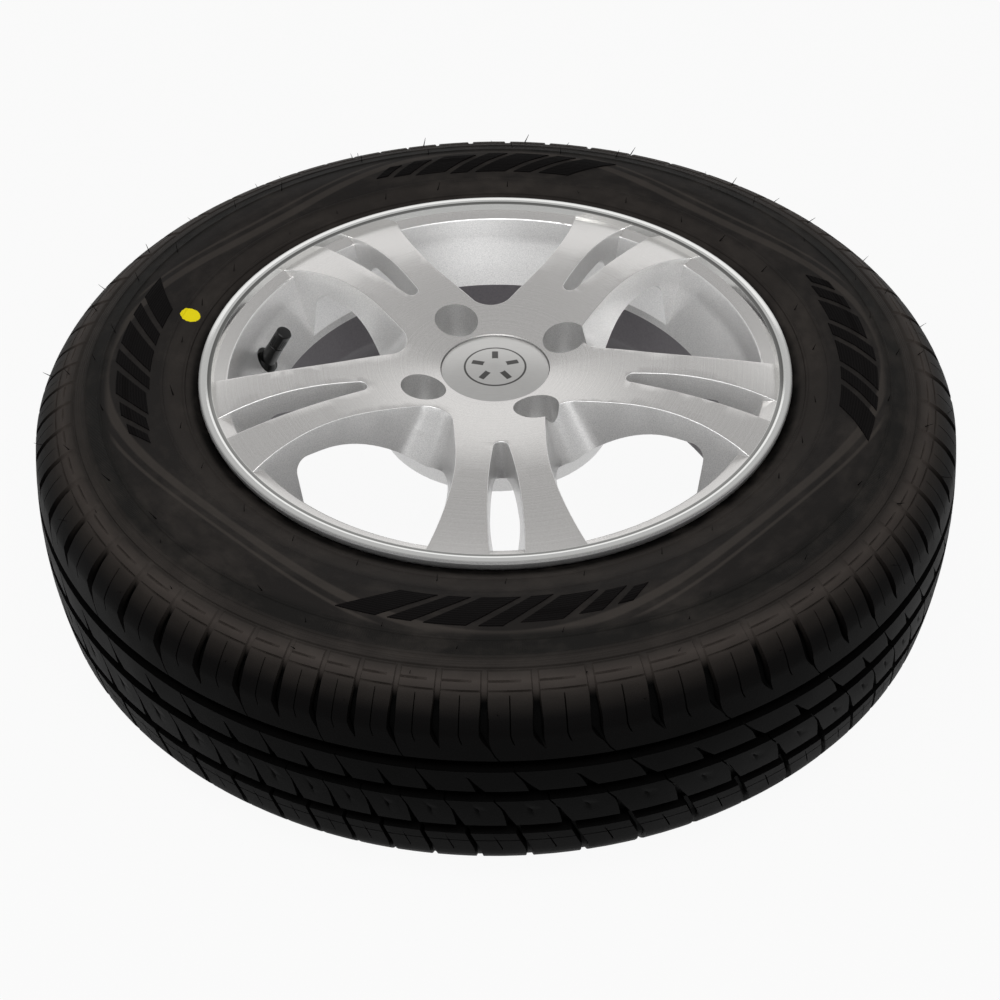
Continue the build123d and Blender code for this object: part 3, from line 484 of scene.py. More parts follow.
# height, and the groove's depth in mm, for the pitches with a tail and for the others
DEPTH_ABOVE = ((71.5, 0.8), (66, 1.2), (60.5, 4.6), (46.5, 5.0), (41.5, 3.2))
DEPTH_BELOW = ((-20, 6.0), (-43, 5.0), (-50, 3.0), (-58, 1.2), (-71.5, 0.8))
DEPTH_TAIL = (
    *DEPTH_ABOVE, (38.5, 1.5), (31, 1.5), (23, 1.6), (16.5, 2.6), (12.5, 5.0), (8.5, 6.0), (0.5, 6.0),
    (-4.5, 0.0), (-7, 0.8), (-12.5, 4.5), *DEPTH_BELOW)
DEPTH_PLAIN = (
    *DEPTH_ABOVE, (38.5, 0.0), (19, 0.0), (17.5, 0.8), (12.5, 4.5), (8.5, 6.0), (0.5, 1.6), (-7, 2.6),
    (-12.5, 4.8), *DEPTH_BELOW)
# height, and the depth of the fine cut in the middle of each block
FINE_DEPTH = (
    (71.5, 0), (64.5, 0), (63.5, 2.5), (43, 2.5), (42, 0), (-4, 0), (-7, 1.6), (-10.5, 0), (-33.5, 0),
    (-34.5, 2.2), (-42.5, 2.2), (-44, 0), (-71.5, 0))
FINE_WIDTH = ((71.5, 0.7), (5.5, 0.7), (-4, 1.5), (-7, 3.0), (-10.5, 1.5), (-18.5, 0.7), (-71.5, 0.7))
FINE_PLACE = 0.5
# the two short cuts at the shoulder end of a block: height, first column, and the one after the last
DASHES = ((68.5, 3, 8), (65.8, 4, 10))
DASH_HALF, DASH_DEPTH = 0.35, 1.1
FINE_RING_Z, FINE_RING_DEPTH = -34.7, 0.9
GROOVE_SHADE = 4.0          # depth in mm at which a groove holds no light


def read(table, z):
    """Value of a list of pairs at a height."""
    heights, values = np.array(table, float).T
    return float(np.interp(-z, -heights, values))


def tread_levels():
    """Heights of the rows over the tread, with the depth of the ring grooves there."""
    rows = [(z, 0.0) for z in (70.6, 69.7)]
    for z in [dash[0] for dash in DASHES]:
        rows += [(z + DASH_HALF, 0.0), (z, 0.0), (z - DASH_HALF, 0.0)]
    rows += [(z, 0.0) for z in (64.5, 63, 60.5, 58, 55, 51.5, 48, 45, 43, 41.5, 40, 38.5, 37, 34)]
    ribs = ((21.8, 19.6, 17.8, 15.8, 13.7, 11.7, 10.1), (-2.1, -4.6, -7.2, -9.8, -12.3, -14.9, -17.4), ())
    for centre, rib in zip(RING_GROOVES, ribs):
        rows += [(centre + RING_HALF_TOP, 0.0), (centre + RING_HALF_FLOOR, RING_DEPTH)]
        rows += [(centre - RING_HALF_FLOOR, RING_DEPTH), (centre - RING_HALF_TOP, 0.0)]
        rows += [(z, 0.0) for z in rib]
    rows += [(z, 0.0) for z in (-30.4, FINE_RING_Z + DASH_HALF)]
    rows += [(FINE_RING_Z, FINE_RING_DEPTH), (FINE_RING_Z - DASH_HALF, 0.0)]
    rows += [(z, 0.0) for z in (-38.5, -42.5, -44, -48, -52, -56, -60, -63, -66, -69, -70.6)]
    return rows


def side_levels():
    """Radii of the rows on a side, with the height of the ridges and of the shoulder line."""
    rows = [(185.0, 0.0)]
    rows += [(190.0, 0.0), (190.6, 0.8), (191.6, 0.8), (192.2, 0.0)]
    rows += [(196.5, 0.0), (203.0, 0.0), (203.6, 0.5), (204.6, 0.5), (205.2, 0.0)]
    rows += [(r, 0.0) for r in (213, 222, 231)]
    rows += [(240.2, 0.0), (240.8, 0.7), (241.6, 0.7), (242.2, 0.0)]
    rows += [(249.6, 0.0), (250.2, 0.5), (251.4, 0.5), (252.0, 0.0)]
    rows += [(256.6, 0.0), (257.2, -1.0), (257.8, -1.0)]
    return rows


def section_rows():
    """All rows of the closed section: radius, height, depth of the ring there, kind."""
    upper = [(r, spline_side(r), -lift, "side") for r, lift in side_levels()]
    tread = [(tread_radius(z), z, depth, "tread") for z, depth in tread_levels()]
    lower = [(r, -z, depth, kind) for r, z, depth, kind in reversed(upper)]
    bead = [SIDE_POINTS[0], (176.8, 64.3), (172.5, 63.2), (168.6, 63.0), (165.6, 61.0), (164.6, 58.0),
            (163.5, 46.5), (166.2, 46.5), (180.0, 51.5)]
    liner = [(198.0, 65.0), (212.0, 69.5), (228.0, 71.5), (243.0, 67.0), (252.0, 60.5), (269.5, 44.0)]
    inside = [(r, -z, 0.0, "inner") for r, z in bead + liner]
    inside += [(273.5, 0.0, 0.0, "inner")]
    inside += [(r, z, 0.0, "inner") for r, z in reversed(bead + liner)]
    return upper + tread + lower + inside


COLUMNS, FINE_COLUMN = 10, 6
SIDE_HALF, SIDE_FINE = 0.06, 0.03     # half widths in pitches, away from the tread
WALL_RUN = 0.7                        # mm that a groove's wall leans at most


def column_places(z, kind):
    """Places of one pitch's columns at a height, in pitches from the groove's middle."""
    half = read(GROOVE_WIDTH, z) / PITCH_LENGTH / 2 if kind == "tread" else SIDE_HALF
    wall = min(0.4 * half, WALL_RUN / PITCH_LENGTH)
    fine = read(FINE_WIDTH, z) / PITCH_LENGTH / 2 if kind == "tread" else SIDE_FINE
    groove = [-half, -half + wall, half - wall, half]
    block = [0.4, FINE_PLACE - fine, FINE_PLACE, FINE_PLACE + fine, 0.74, 0.88]
    return groove + block


def column_depths(z, kind, tail):
    """Depth of the cuts at one pitch's columns."""
    if kind != "tread":
        return [0.0] * COLUMNS
    deep = read(DEPTH_TAIL if tail else DEPTH_PLAIN, z)
    depths = [0.0, deep, deep, 0.0] + [0.0] * (COLUMNS - 4)
    depths[FINE_COLUMN] = read(FINE_DEPTH, z)
    for level, first, last in DASHES:
        if abs(z - level) < 0.01:
            for column in range(first, last):
                depths[column] = max(depths[column], DASH_DEPTH)
    return depths


rows = section_rows()
outline = np.array([(r, z) for r, z, depth, kind in rows])
along = np.roll(outline, -1, 0) - np.roll(outline, 1, 0)
outward = np.stack([-along[:, 1], along[:, 0]], 1) / np.linalg.norm(along, axis=1)[:, None]
kinds = [kind for r, z, depth, kind in rows]
first_tread, first_inner, last_row = kinds.index("tread"), kinds.index("inner"), len(rows) - 1
module, groove = [], []
for i, (r, z, ring, kind) in enumerate(rows):
    if kind == "tread":
        bend = read(GROOVE_PATH, z)
    elif kind == "inner":
        bend = PATH_END * (last_row - i) / (last_row - first_inner)
    else:
        bend = 0.0 if i < first_tread else PATH_END
    places, depths = [], []
    for pitch in (0, 1):
        places += [pitch + p for p in column_places(z, kind)]
        depths += column_depths(z, kind, pitch == 0)
    places.append(places[0] + 2)
    depths.append(depths[0])
    for p, d in zip(places, depths):
        cut = max(d, ring) if ring > 0 else ring + d
        # a ridge or groove moves the point along the section's own normal
        module.append((bend + p, (r - outward[i, 0] * cut) * MM, (z - outward[i, 1] * cut) * MM))
        # share of the grooves' painted shade, by their depth
        groove.append(min(max(cut, 0.0) / GROOVE_SHADE, 1.0))
wide = 2 * COLUMNS + 1
quads = []
for i in range(len(rows)):
    below = (i + 1) % len(rows)
    for j in range(wide - 1):
        quads.append((i * wide + j, i * wide + j + 1, below * wide + j + 1, below * wide + j))
module_mesh = bpy.data.meshes.new("tread_module")
module_mesh.from_pydata(module, [], quads)
module_mesh.attributes.new("groove", "FLOAT", "POINT").data.foreach_set("value", groove)
tread_module = linked("tread_module", module_mesh)
print("tread module:", len(rows), "rows,", len(quads), "faces; tyre will have", len(quads) * PITCHES // 2)

# %% [markdown]
# ## Rubber
# Tyre rubber is black with carbon and comes out of a polished mould, so its side has a
# dull sheen with cloudy patches where the mould's release agent dried. The side carries
# fine moulded work: rings near the shoulder and short fields of radial hatching. They are
# shallow, so they are bump in the material, while ridges, bars and grooves are real
# shape. Two swept bands of duller rubber run round it, and a yellow paint dot marks the
# light point.

# %% Rubber of the tyre: carbon black, moulded, satin with dull clouds, with painted light and shade by radius
RUBBER_TONES_AND_PAINTED_SHADE = (            # radius in mm, and the rubber's colour there; the near-black by the rim is a painted shadow where the tyre meets the lip, the lighter shoulder is painted light from above, and the darker tread is painted shade
    (181, "070606"), (185, "0d0c0b"), (188, "272422"), (200, "292624"), (206, "201e1d"),
    (236, "201e1d"), (241, "1a1918"), (249, "1a1918"), (253, "282523"), (258, "282523"),
    (264, "393431"), (272, "211e1c"), (279, "0a0909"), (287, "020202"))
CLOUD, RUBBER_GRAIN = 55 * MM, 0.9 * MM
SMEAR_ALONG, SMEAR_ACROSS = 0.22, 0.11     # smears for each degree and for each mm of radius
DUST = linear("46413d")
DUST_NONE_R, DUST_FULL_R = 278.0, 264.0     # mm
PAINT_DOT = (-193.4, 49.4, 74.0)
PAINT_DOT_R, PAINT_EDGE, PAINT_RAGGED = 6.2, (1.1, 0.7), 1.6     # mm

tyre_rubber, tree, shader = material("tyre_rubber")
polar = put(tree, "ShaderNodeGroup", node_tree=turned).outputs
radius, angle = polar["Radius"], polar["Angle"]
place = put(tree, COORDINATES).outputs["Object"]
# rubber's colour by radius, with a painted shadow at the rim, painted light on the shoulder and painted shade
# on the tread
rubber_tone_and_painted_shade = ramp_of(tree, radius, RUBBER_TONES_AND_PAINTED_SHADE)

# clouds of dried release agent and dust, drawn out along the side
clouds = put(tree, NOISE, {"Vector": place, "Scale": 1 / CLOUD, "Detail": 4.0, "Roughness": 0.6})
along = put(tree, MATH, {0: angle, 1: SMEAR_ALONG}, operation="MULTIPLY")
across = put(tree, MATH, {0: radius, 1: SMEAR_ACROSS}, operation="MULTIPLY")
wiped = put(tree, JOIN, {0: along, 1: across})
smears = put(tree, NOISE, {"Vector": wiped, "Scale": 1.0, "Detail": 5.0, "Roughness": 0.6})
both = put(tree, MATH, {0: clouds, 1: smears}, operation="MULTIPLY")
dusty = put(tree, RANGE, {"Value": both, "From Min": 0.2, "From Max": 0.45, "To Max": 0.3})
on_top = put(tree, RANGE, {"Value": radius, "From Min": DUST_NONE_R, "From Max": DUST_FULL_R})
layer = put(tree, MATH, {0: dusty, 1: on_top}, operation="MULTIPLY")
dust = put(tree, MIX, {0: layer, 6: rubber_tone_and_painted_shade, 7: DUST}, data_type="RGBA")

# two swept bands of duller rubber that swing out and in between the rows of bars
SWEEP_MID, SWEEP_OUT, SWEEPS, SWEEP_TURN = 222.0, 14.0, 4, -4.0     # mm, mm, waves, degrees
SWEEP_BROAD, SWEEP_NARROW, SWEEP_RADII = (0.0, 5.5), (9.5, 11.5), (208.0, 237.0)     # mm
SWEEP_DULL = 0.4
swing = put(tree, MATH, {0: angle, 1: radians(SWEEPS), 2: radians(SWEEP_TURN)}, operation="MULTIPLY_ADD")
wave = put(tree, MATH, {0: swing}, operation="COSINE")
middle = put(tree, MATH, {0: wave, 1: SWEEP_OUT, 2: SWEEP_MID}, operation="MULTIPLY_ADD")
beyond = put(tree, MATH, {0: radius, 1: middle}, operation="SUBTRACT")
broad = between(tree, beyond, *SWEEP_BROAD, 0.6)
narrow = between(tree, beyond, *SWEEP_NARROW, 0.5)
bands = put(tree, MATH, {0: broad, 1: narrow}, operation="ADD")
swept = put(tree, MATH, {0: bands, 1: between(tree, radius, *SWEEP_RADII, 1.5)}, operation="MULTIPLY")
dull = put(tree, MATH, {0: swept, 1: SWEEP_DULL}, operation="MULTIPLY")
side = put(tree, MIX, {0: dull, 6: dust.outputs[2], 7: DUST}, data_type="RGBA")

# %% Moulded work of the side: hatched fields and fine rings
HATCH_BAND, HATCH_R, HATCH_STEP = (242.4, 249.2), 246.0, 1.3     # mm
HATCH_START, HATCH_EVERY, HATCH_WIDE = 8.0, 60.0, 27.0           # degrees
RING_BAND, RING_STEP_SIDE = (252.4, 256.2), 1.35                 # mm
HATCH_DEEP, RING_DEEP = 0.9, 0.7                                 # shares of the bump

lines = put(tree, MATH, {0: angle, 1: 2 * pi * HATCH_R / HATCH_STEP * pi / 180}, operation="MULTIPLY")
hatch = put(tree, MATH, {0: lines}, operation="SINE")
turn = put(tree, MATH, {0: angle, 1: HATCH_EVERY, 2: 0.0}, operation="WRAP")
in_turn = between(tree, turn, HATCH_START, HATCH_START + HATCH_WIDE, 0.4)
in_band = between(tree, radius, *HATCH_BAND, 0.3)
hatched = put(tree, MATH, {0: in_turn, 1: in_band}, operation="MULTIPLY")
hatch_height = put(tree, MATH, {0: hatch, 1: hatched}, operation="MULTIPLY")

rounds = put(tree, MATH, {0: radius, 1: 2 * pi / RING_STEP_SIDE}, operation="MULTIPLY")
ring = put(tree, MATH, {0: rounds}, operation="SINE")
ring_height = put(tree, MATH, {0: ring, 1: between(tree, radius, *RING_BAND, 0.3)}, operation="MULTIPLY")

grain = put(tree, NOISE, {"Vector": place, "Scale": 1 / RUBBER_GRAIN, "Detail": 3.0})
relief = grain
for part, depth in ((hatch_height, HATCH_DEEP), (ring_height, RING_DEEP)):
    relief = put(tree, MATH, {0: part, 1: depth, 2: relief}, operation="MULTIPLY_ADD")
bump = put(tree, BUMP, {"Height": relief, "Strength": 0.55, "Distance": 0.2 * MM})

# %% Paint dot, painted shade in the grooves, and finish of the rubber
# painted shade: the rubber is painted near black down in the grooves, by their depth
deep = put(tree, "ShaderNodeAttribute", attribute_name="groove").outputs["Fac"]
unlit = put(tree, RANGE, {"Value": deep, "From Min": 0.4, "From Max": 0.85})
groove_painted_shade = put(tree, MIX, {0: unlit, 6: side.outputs[2], 7: linear("020202")}, data_type="RGBA")
spot = put(tree, "ShaderNodeVectorMath", {0: place, 1: [c * MM for c in PAINT_DOT]}, operation="DISTANCE")
ragged = put(tree, MATH, {0: grain, 1: PAINT_RAGGED * MM, 2: spot.outputs["Value"]}, operation="MULTIPLY_ADD")
none, full = [(PAINT_DOT_R + edge) * MM for edge in PAINT_EDGE]
dot = put(tree, RANGE, {"Value": ragged, "From Min": none, "From Max": full})
colour = put(tree, MIX, {0: dot, 6: groove_painted_shade.outputs[2], 7: linear("e3d21a")}, data_type="RGBA")
gloss = put(tree, RANGE, {"Value": clouds, "To Min": 0.42, "To Max": 0.66})
fill(tree, shader, {
    "Base Color": colour.outputs[2], "Normal": bump, "Roughness": gloss, "Specular IOR Level": 0.035})
print("rubber:", tyre_rubber.name)

# %% [markdown]
# ## Rolling the tread round the tyre
# A Geometry Nodes tree sets the two-pitch grid in a row, as many times as the tyre has
# pairs of pitches, and then rolls the row up. The row's length becomes the angle, with
# a slow wave that lengthens and shortens the pitches, and the grid's second and third
# coordinates become radius and height. Merging closes the skin to one piece.

# %% Tyre by Geometry Nodes
def geometry_tree(name, inputs):
    """A new geometry tree with inputs of the named kinds and one geometry output."""
    made = bpy.data.node_groups.new(name, "GeometryNodeTree")
    made.interface.new_socket("Geometry", in_out="OUTPUT", socket_type="NodeSocketGeometry")
    for label, kind in inputs.items():
        made.interface.new_socket(label, in_out="INPUT", socket_type="NodeSocket" + kind)
    return made, put(made, "NodeGroupInput").outputs


def on_circle(tree, angle, radius, height):
    """The point at an angle round the axis, a radius and a height."""
    east = put(tree, MATH, {0: angle}, operation="COSINE")
    north = put(tree, MATH, {0: angle}, operation="SINE")
    x = put(tree, MATH, {0: east, 1: radius}, operation="MULTIPLY")
    y = put(tree, MATH, {0: north, 1: radius}, operation="MULTIPLY")
    return put(tree, JOIN, {0: x, 1: y, 2: height})


def grown(tree, name, values):
    """The plain mesh that a geometry tree makes from its input values."""
    holder = linked(name, bpy.data.meshes.new(name))
    modifier = holder.modifiers.new(name, "NODES")
    modifier.node_group = tree
    for item in tree.interface.items_tree:
        if item.in_out == "INPUT":
            modifier[item.identifier] = values[item.name]
    bpy.context.view_layer.update()
    mesh = bpy.data.meshes.new_from_object(holder.evaluated_get(bpy.context.evaluated_depsgraph_get()))
    holder.modifiers.remove(modifier)
    holder.data = mesh
    mesh.name = name
    return holder


roll, given = geometry_tree("roll_tread", {
    "Module": "Object", "Modules": "Int", "Pitches": "Int", "Pitch spread": "Float", "Pitch waves": "Int",
    "First groove": "Float", "Sharp angle": "Float", "Rubber": "Material"})
index = put(roll, "GeometryNodeInputIndex")
step = put(roll, MATH, {0: index, 1: 2.0}, operation="MULTIPLY")
spot = put(roll, JOIN, {0: step})
points = put(roll, "GeometryNodePoints", {"Count": given["Modules"], "Position": spot})
source = put(roll, "GeometryNodeObjectInfo", {"Object": given["Module"]})
copies = put(roll, "GeometryNodeInstanceOnPoints", {
    "Points": points, "Instance": source.outputs["Geometry"]})
real = put(roll, "GeometryNodeRealizeInstances", {0: copies})
where = put(roll, "ShaderNodeSeparateXYZ", {0: put(roll, "GeometryNodeInputPosition")})
turns = put(roll, MATH, {0: where.outputs[0], 1: given["Pitches"]}, operation="DIVIDE")
even = put(roll, MATH, {0: turns, 1: 2 * pi}, operation="MULTIPLY")
phase = put(roll, MATH, {0: even, 1: given["Pitch waves"]}, operation="MULTIPLY")
wave = put(roll, MATH, {0: phase}, operation="COSINE")
fall = put(roll, MATH, {0: 1.0, 1: wave}, operation="SUBTRACT")
gain = put(roll, MATH, {0: given["Pitch spread"], 1: given["Pitch waves"]}, operation="DIVIDE")
uneven = put(roll, MATH, {0: fall, 1: gain, 2: even}, operation="MULTIPLY_ADD")
angle = put(roll, MATH, {0: uneven, 1: given["First groove"]}, operation="ADD")
rolled = on_circle(roll, angle, where.outputs[1], where.outputs[2])
moved = put(roll, "GeometryNodeSetPosition", {"Geometry": real, "Position": rolled})
closed = put(roll, "GeometryNodeMergeByDistance", {"Geometry": moved, "Distance": 0.01 * MM})
smooth = put(roll, "GeometryNodeSetShadeSmooth", {"Geometry": closed, "Shade Smooth": True}, domain="FACE")
bent = put(roll, "GeometryNodeInputMeshEdgeAngle")
sharp = put(roll, "FunctionNodeCompare", {0: bent.outputs["Unsigned Angle"], 1: given["Sharp angle"]},
            data_type="FLOAT", operation="GREATER_THAN")
crisp = put(roll, "GeometryNodeSetShadeSmooth", {
    "Geometry": smooth, "Selection": sharp, "Shade Smooth": False}, domain="EDGE")
painted = put(roll, "GeometryNodeSetMaterial", {"Geometry": crisp, "Material": given["Rubber"]})
put(roll, "NodeGroupOutput", {0: painted})

PITCH_SPREAD, PITCH_WAVES = 0.22, 5
FIRST_GROOVE, TYRE_SHARP = radians(268.4), radians(32)
tyre = grown(roll, "tyre_cover", {
    "Module": tread_module, "Modules": PITCHES // 2, "Pitches": PITCHES, "Pitch spread": PITCH_SPREAD,
    "Pitch waves": PITCH_WAVES, "First groove": FIRST_GROOVE, "Sharp angle": TYRE_SHARP,
    "Rubber": tyre_rubber})
bpy.data.objects.remove(tread_module)
print("tyre:", len(tyre.data.polygons), "faces", len(tyre.data.vertices), "corners")

# %% [markdown]
# ## Raised bars on the side
# Between the rings the side carries raised bars in four rows, slanted like speed
# stripes, with a matt, finely ridged top, painted blacker than the rubber round it as painted shade.
# One row is drawn as thin slabs that follow the side's curve, with a small bevel round
# the top. A geometry tree sets it round the axis, and the bars join the tyre's mesh,
# because the mould makes them with it.

# %% Matt rubber of the bars: the light that the fine ridges trap is painted shade, a darker colour that is darkest in the ridges' valleys
RIDGE_STEP = 1.6            # mm; real ridges are about 0.5, drawn coarser to show
matt_rubber, tree, shader = material("matt_rubber")
polar = put(tree, "ShaderNodeGroup", node_tree=turned).outputs
lines = put(tree, MATH, {0: polar["Radius"], 1: 2 * pi / RIDGE_STEP}, operation="MULTIPLY")
ridge = put(tree, MATH, {0: lines}, operation="SINE")
# painted shade: the colour is darker in the valleys of the ridges
ridge_painted_shade = put(tree, RANGE, {"Value": ridge, "From Min": -1.0})
colour = put(tree, MIX, {0: ridge_painted_shade, 6: linear("060505"), 7: linear("0e0c0c")}, data_type="RGBA")
bump = put(tree, BUMP, {"Height": ridge, "Strength": 0.4, "Distance": 0.15 * MM})
fill(tree, shader, {
    "Base Color": colour.outputs[2], "Normal": bump, "Roughness": 0.75, "Specular IOR Level": 0.05})

# %% One row of bars, set round by Geometry Nodes
BAR_ROWS, BAR_START = 4, radians(-108)
BAR_SLANT, BAR_MID = 0.34, 222     # degrees for each mm away from this radius
BAR_LIFT, BAR_ROOT, BAR_BEVEL = 0.7, -0.5, 0.35
# start and width in degrees, and the radii of the two ends
BARS = ((0.0, 5.6, 211, 233), (7.2, 3.2, 211, 233), (12.0, 5.6, 211, 233), (19.2, 3.2, 211, 233),
        (24.0, 5.6, 213, 231), (31.2, 3.2, 215, 229), (36.0, 2.2, 217, 227))
ALONG, ACROSS = 6, 5


def bar_layer(start, wide, low, high, lift, inset):
    """Points of one level of a bar, row by row outwards."""
    points = []
    for r in np.linspace(low + inset, high - inset, ALONG):
        trim = inset / r * 180 / pi
        for a in np.linspace(start + trim, start + wide - trim, ACROSS):
            turn = radians(a - BAR_SLANT * (r - BAR_MID))
            points.append((r * cos(turn) * MM, r * sin(turn) * MM, (spline_side(r) + lift) * MM))
    return points


ring_of_points = [(0, j) for j in range(ACROSS)] + [(i, ACROSS - 1) for i in range(1, ALONG)]
ring_of_points += [(ALONG - 1, j) for j in range(ACROSS - 2, -1, -1)]
ring_of_points += [(i, 0) for i in range(ALONG - 2, 0, -1)]
rim = [i * ACROSS + j for i, j in ring_of_points]
size = ALONG * ACROSS
levels = ((BAR_ROOT, 0.0), (BAR_LIFT - BAR_BEVEL, 0.0), (BAR_LIFT, BAR_BEVEL))
corners, faces = [], []
for start, wide, low, high in BARS:
    bottom, middle, top = [len(corners) + size * level for level in range(3)]
    for lift, inset in levels:
        corners += bar_layer(start, wide, low, high, lift, inset)
    for i in range(ALONG - 1):
        for j in range(ACROSS - 1):
            quad = (i * ACROSS + j, (i + 1) * ACROSS + j, (i + 1) * ACROSS + j + 1, i * ACROSS + j + 1)
            faces.append([top + k for k in quad])
            faces.append([bottom + k for k in reversed(quad)])
    for a, b in zip(rim, rim[1:] + rim[:1]):
        faces.append((bottom + a, middle + a, middle + b, bottom + b))
        faces.append((middle + a, top + a, top + b, middle + b))
row_mesh = bpy.data.meshes.new("bar_row")
row_mesh.from_pydata(corners, [], faces)
work = bmesh.new()
work.from_mesh(row_mesh)
bmesh.ops.delete(work, geom=[v for v in work.verts if not v.link_faces], context="VERTS")
bmesh.ops.recalc_face_normals(work, faces=work.faces)
work.to_mesh(row_mesh)
work.free()
bar_row = linked("bar_row", row_mesh)

rounds, given = geometry_tree("set_round_the_axis", {
    "Row": "Object", "Count": "Int", "Start": "Float", "Rubber": "Material"})
index = put(rounds, "GeometryNodeInputIndex")
share = put(rounds, MATH, {0: index, 1: given["Count"]}, operation="DIVIDE")
angle = put(rounds, MATH, {0: share, 1: 2 * pi, 2: given["Start"]}, operation="MULTIPLY_ADD")
turn = put(rounds, JOIN, {2: angle})
points = put(rounds, "GeometryNodePoints", {"Count": given["Count"]})
source = put(rounds, "GeometryNodeObjectInfo", {"Object": given["Row"]})
copies = put(rounds, "GeometryNodeInstanceOnPoints", {
    "Points": points, "Instance": source.outputs["Geometry"], "Rotation": turn})
real = put(rounds, "GeometryNodeRealizeInstances", {0: copies})
painted = put(rounds, "GeometryNodeSetMaterial", {"Geometry": real, "Material": given["Rubber"]})
put(rounds, "NodeGroupOutput", {0: painted})
bars = grown(rounds, "side_bars", {
    "Row": bar_row, "Count": BAR_ROWS, "Start": BAR_START, "Rubber": matt_rubber})
bpy.data.objects.remove(bar_row)
print("bars:", BAR_ROWS * len(BARS), "with", len(bars.data.polygons), "faces")

# %% [markdown]
# ## Moulding hairs
# A tyre mould has fine vents, and the rubber that runs into them leaves short hairs on
# a new tyre. They stand in rings on the side and on the shoulder. One geometry tree
# sets a thin four-sided cone at each point of a ring, with a seeded lean and length,
# and the hairs then join the tyre's mesh, because they are the same moulding.

# %% Hairs by Geometry Nodes
HAIR_LENGTH, HAIR_ROOT, HAIR_TIP, HAIR_SUNK = 6.5 * MM, 0.42 * MM, 0.12 * MM, 0.6 * MM
HAIR_TURN = 0.19            # radians that each ring starts on from the one before
JITTER, LEAN, SWAY, HAIR_SIZES = 0.25, 0.45, 0.5, (0.5, 1.15)
hairs, given = geometry_tree("moulding_hairs", {
    "Count": "Int", "Ring radius": "Float", "Ring height": "Float", "Slope": "Float", "Start": "Float",
    "Length": "Float", "Thickness": "Float", "Seed": "Int", "Rubber": "Material"})
index = put(hairs, "GeometryNodeInputIndex")
jitter = put(hairs, DRAW, {2: -JITTER, 3: JITTER, "ID": index, "Seed": given["Seed"]})
spaced = put(hairs, MATH, {0: index, 1: jitter.outputs[1]}, operation="ADD")
share = put(hairs, MATH, {0: spaced, 1: given["Count"]}, operation="DIVIDE")
angle = put(hairs, MATH, {0: share, 1: 2 * pi, 2: given["Start"]}, operation="MULTIPLY_ADD")
spot = on_circle(hairs, angle, given["Ring radius"], given["Ring height"])
points = put(hairs, "GeometryNodePoints", {"Count": given["Count"], "Position": spot})
cone = put(hairs, "GeometryNodeMeshCone", {
    "Vertices": 4, "Radius Top": HAIR_TIP, "Radius Bottom": given["Thickness"], "Depth": given["Length"]})
lean = put(hairs, DRAW, {2: -LEAN, 3: LEAN, "ID": index, "Seed": given["Seed"]})
sway = put(hairs, DRAW, {2: -SWAY, 3: SWAY, "Seed": given["Seed"]})
tilt = put(hairs, MATH, {0: given["Slope"], 1: lean.outputs[1]}, operation="ADD")
turn = put(hairs, JOIN, {0: sway.outputs[1], 1: tilt, 2: angle})
size = put(hairs, DRAW, {2: HAIR_SIZES[0], 3: HAIR_SIZES[1], "Seed": given["Seed"]})
set_up = put(hairs, "GeometryNodeInstanceOnPoints", {
    "Points": points, "Instance": cone, "Rotation": turn, "Scale": size.outputs[1]})
real = put(hairs, "GeometryNodeRealizeInstances", {0: set_up})
painted = put(hairs, "GeometryNodeSetMaterial", {"Geometry": real, "Material": given["Rubber"]})
put(hairs, "NodeGroupOutput", {0: painted})

# ring radius in mm, hairs, lean of the surface from level in degrees
HAIR_RINGS = ((197.0, 29, -12), (239.0, 16, 9), (247.0, 16, 16), (262.0, 22, 30), (277.0, 22, 60))
work = bmesh.new()
work.from_mesh(tyre.data)
matt_from = len(work.faces)
work.from_mesh(bars.data)
bpy.data.objects.remove(bars)
for number, (r, count, slope) in enumerate(HAIR_RINGS):
    ring_z = spline_side(r) if r < SHOULDER[0] else ROUND[1] + sqrt(ROUND_BEND ** 2 - (r - ROUND[0]) ** 2)
    ring = grown(hairs, "hair_ring", {
        "Count": count, "Ring radius": r * MM, "Ring height": ring_z * MM - HAIR_SUNK,
        "Slope": radians(slope), "Start": HAIR_TURN * number, "Length": HAIR_LENGTH,
        "Thickness": HAIR_ROOT, "Seed": number, "Rubber": matt_rubber})
    work.from_mesh(ring.data)
    bpy.data.objects.remove(ring)
work.faces.index_update()
for face in work.faces:
    face.material_index = int(face.index >= matt_from)
tyre.data.materials.clear()
tyre.data.materials.append(tyre_rubber)
tyre.data.materials.append(matt_rubber)
work.to_mesh(tyre.data)
work.free()
in_place(tyre, "wheel", "tyre_rubber", "tyre")
matt_faces = sum(p.material_index for p in tyre.data.polygons)
print("tyre with hairs:", len(tyre.data.polygons), "faces,", matt_faces, "of them matt")

# %% [markdown]
# ## Cap, valve and the small inner pieces
# The centre cap and the valve keep the form of their solids, and get moulded finishes.
# The cap is silver foil under clear plastic, printed with a plain sign: five strokes in
# a ring. The pieces inside the valve are brass, rubber and spring steel.

# %% Finishes of the small pieces
VALVE_GRAIN = 0.6 * MM
valve_rubber, tree, shader = material("valve_rubber")
place = put(tree, COORDINATES).outputs["Object"]
grain = put(tree, NOISE, {"Vector": place, "Scale": 1 / VALVE_GRAIN, "Detail": 2.0})
bump = put(tree, BUMP, {"Height": grain, "Strength": 0.1, "Distance": 0.05 * MM})
fill(tree, shader, {
    "Normal": bump, "Base Color": linear("090909"), "Roughness": 0.26, "Specular IOR Level": 0.35})

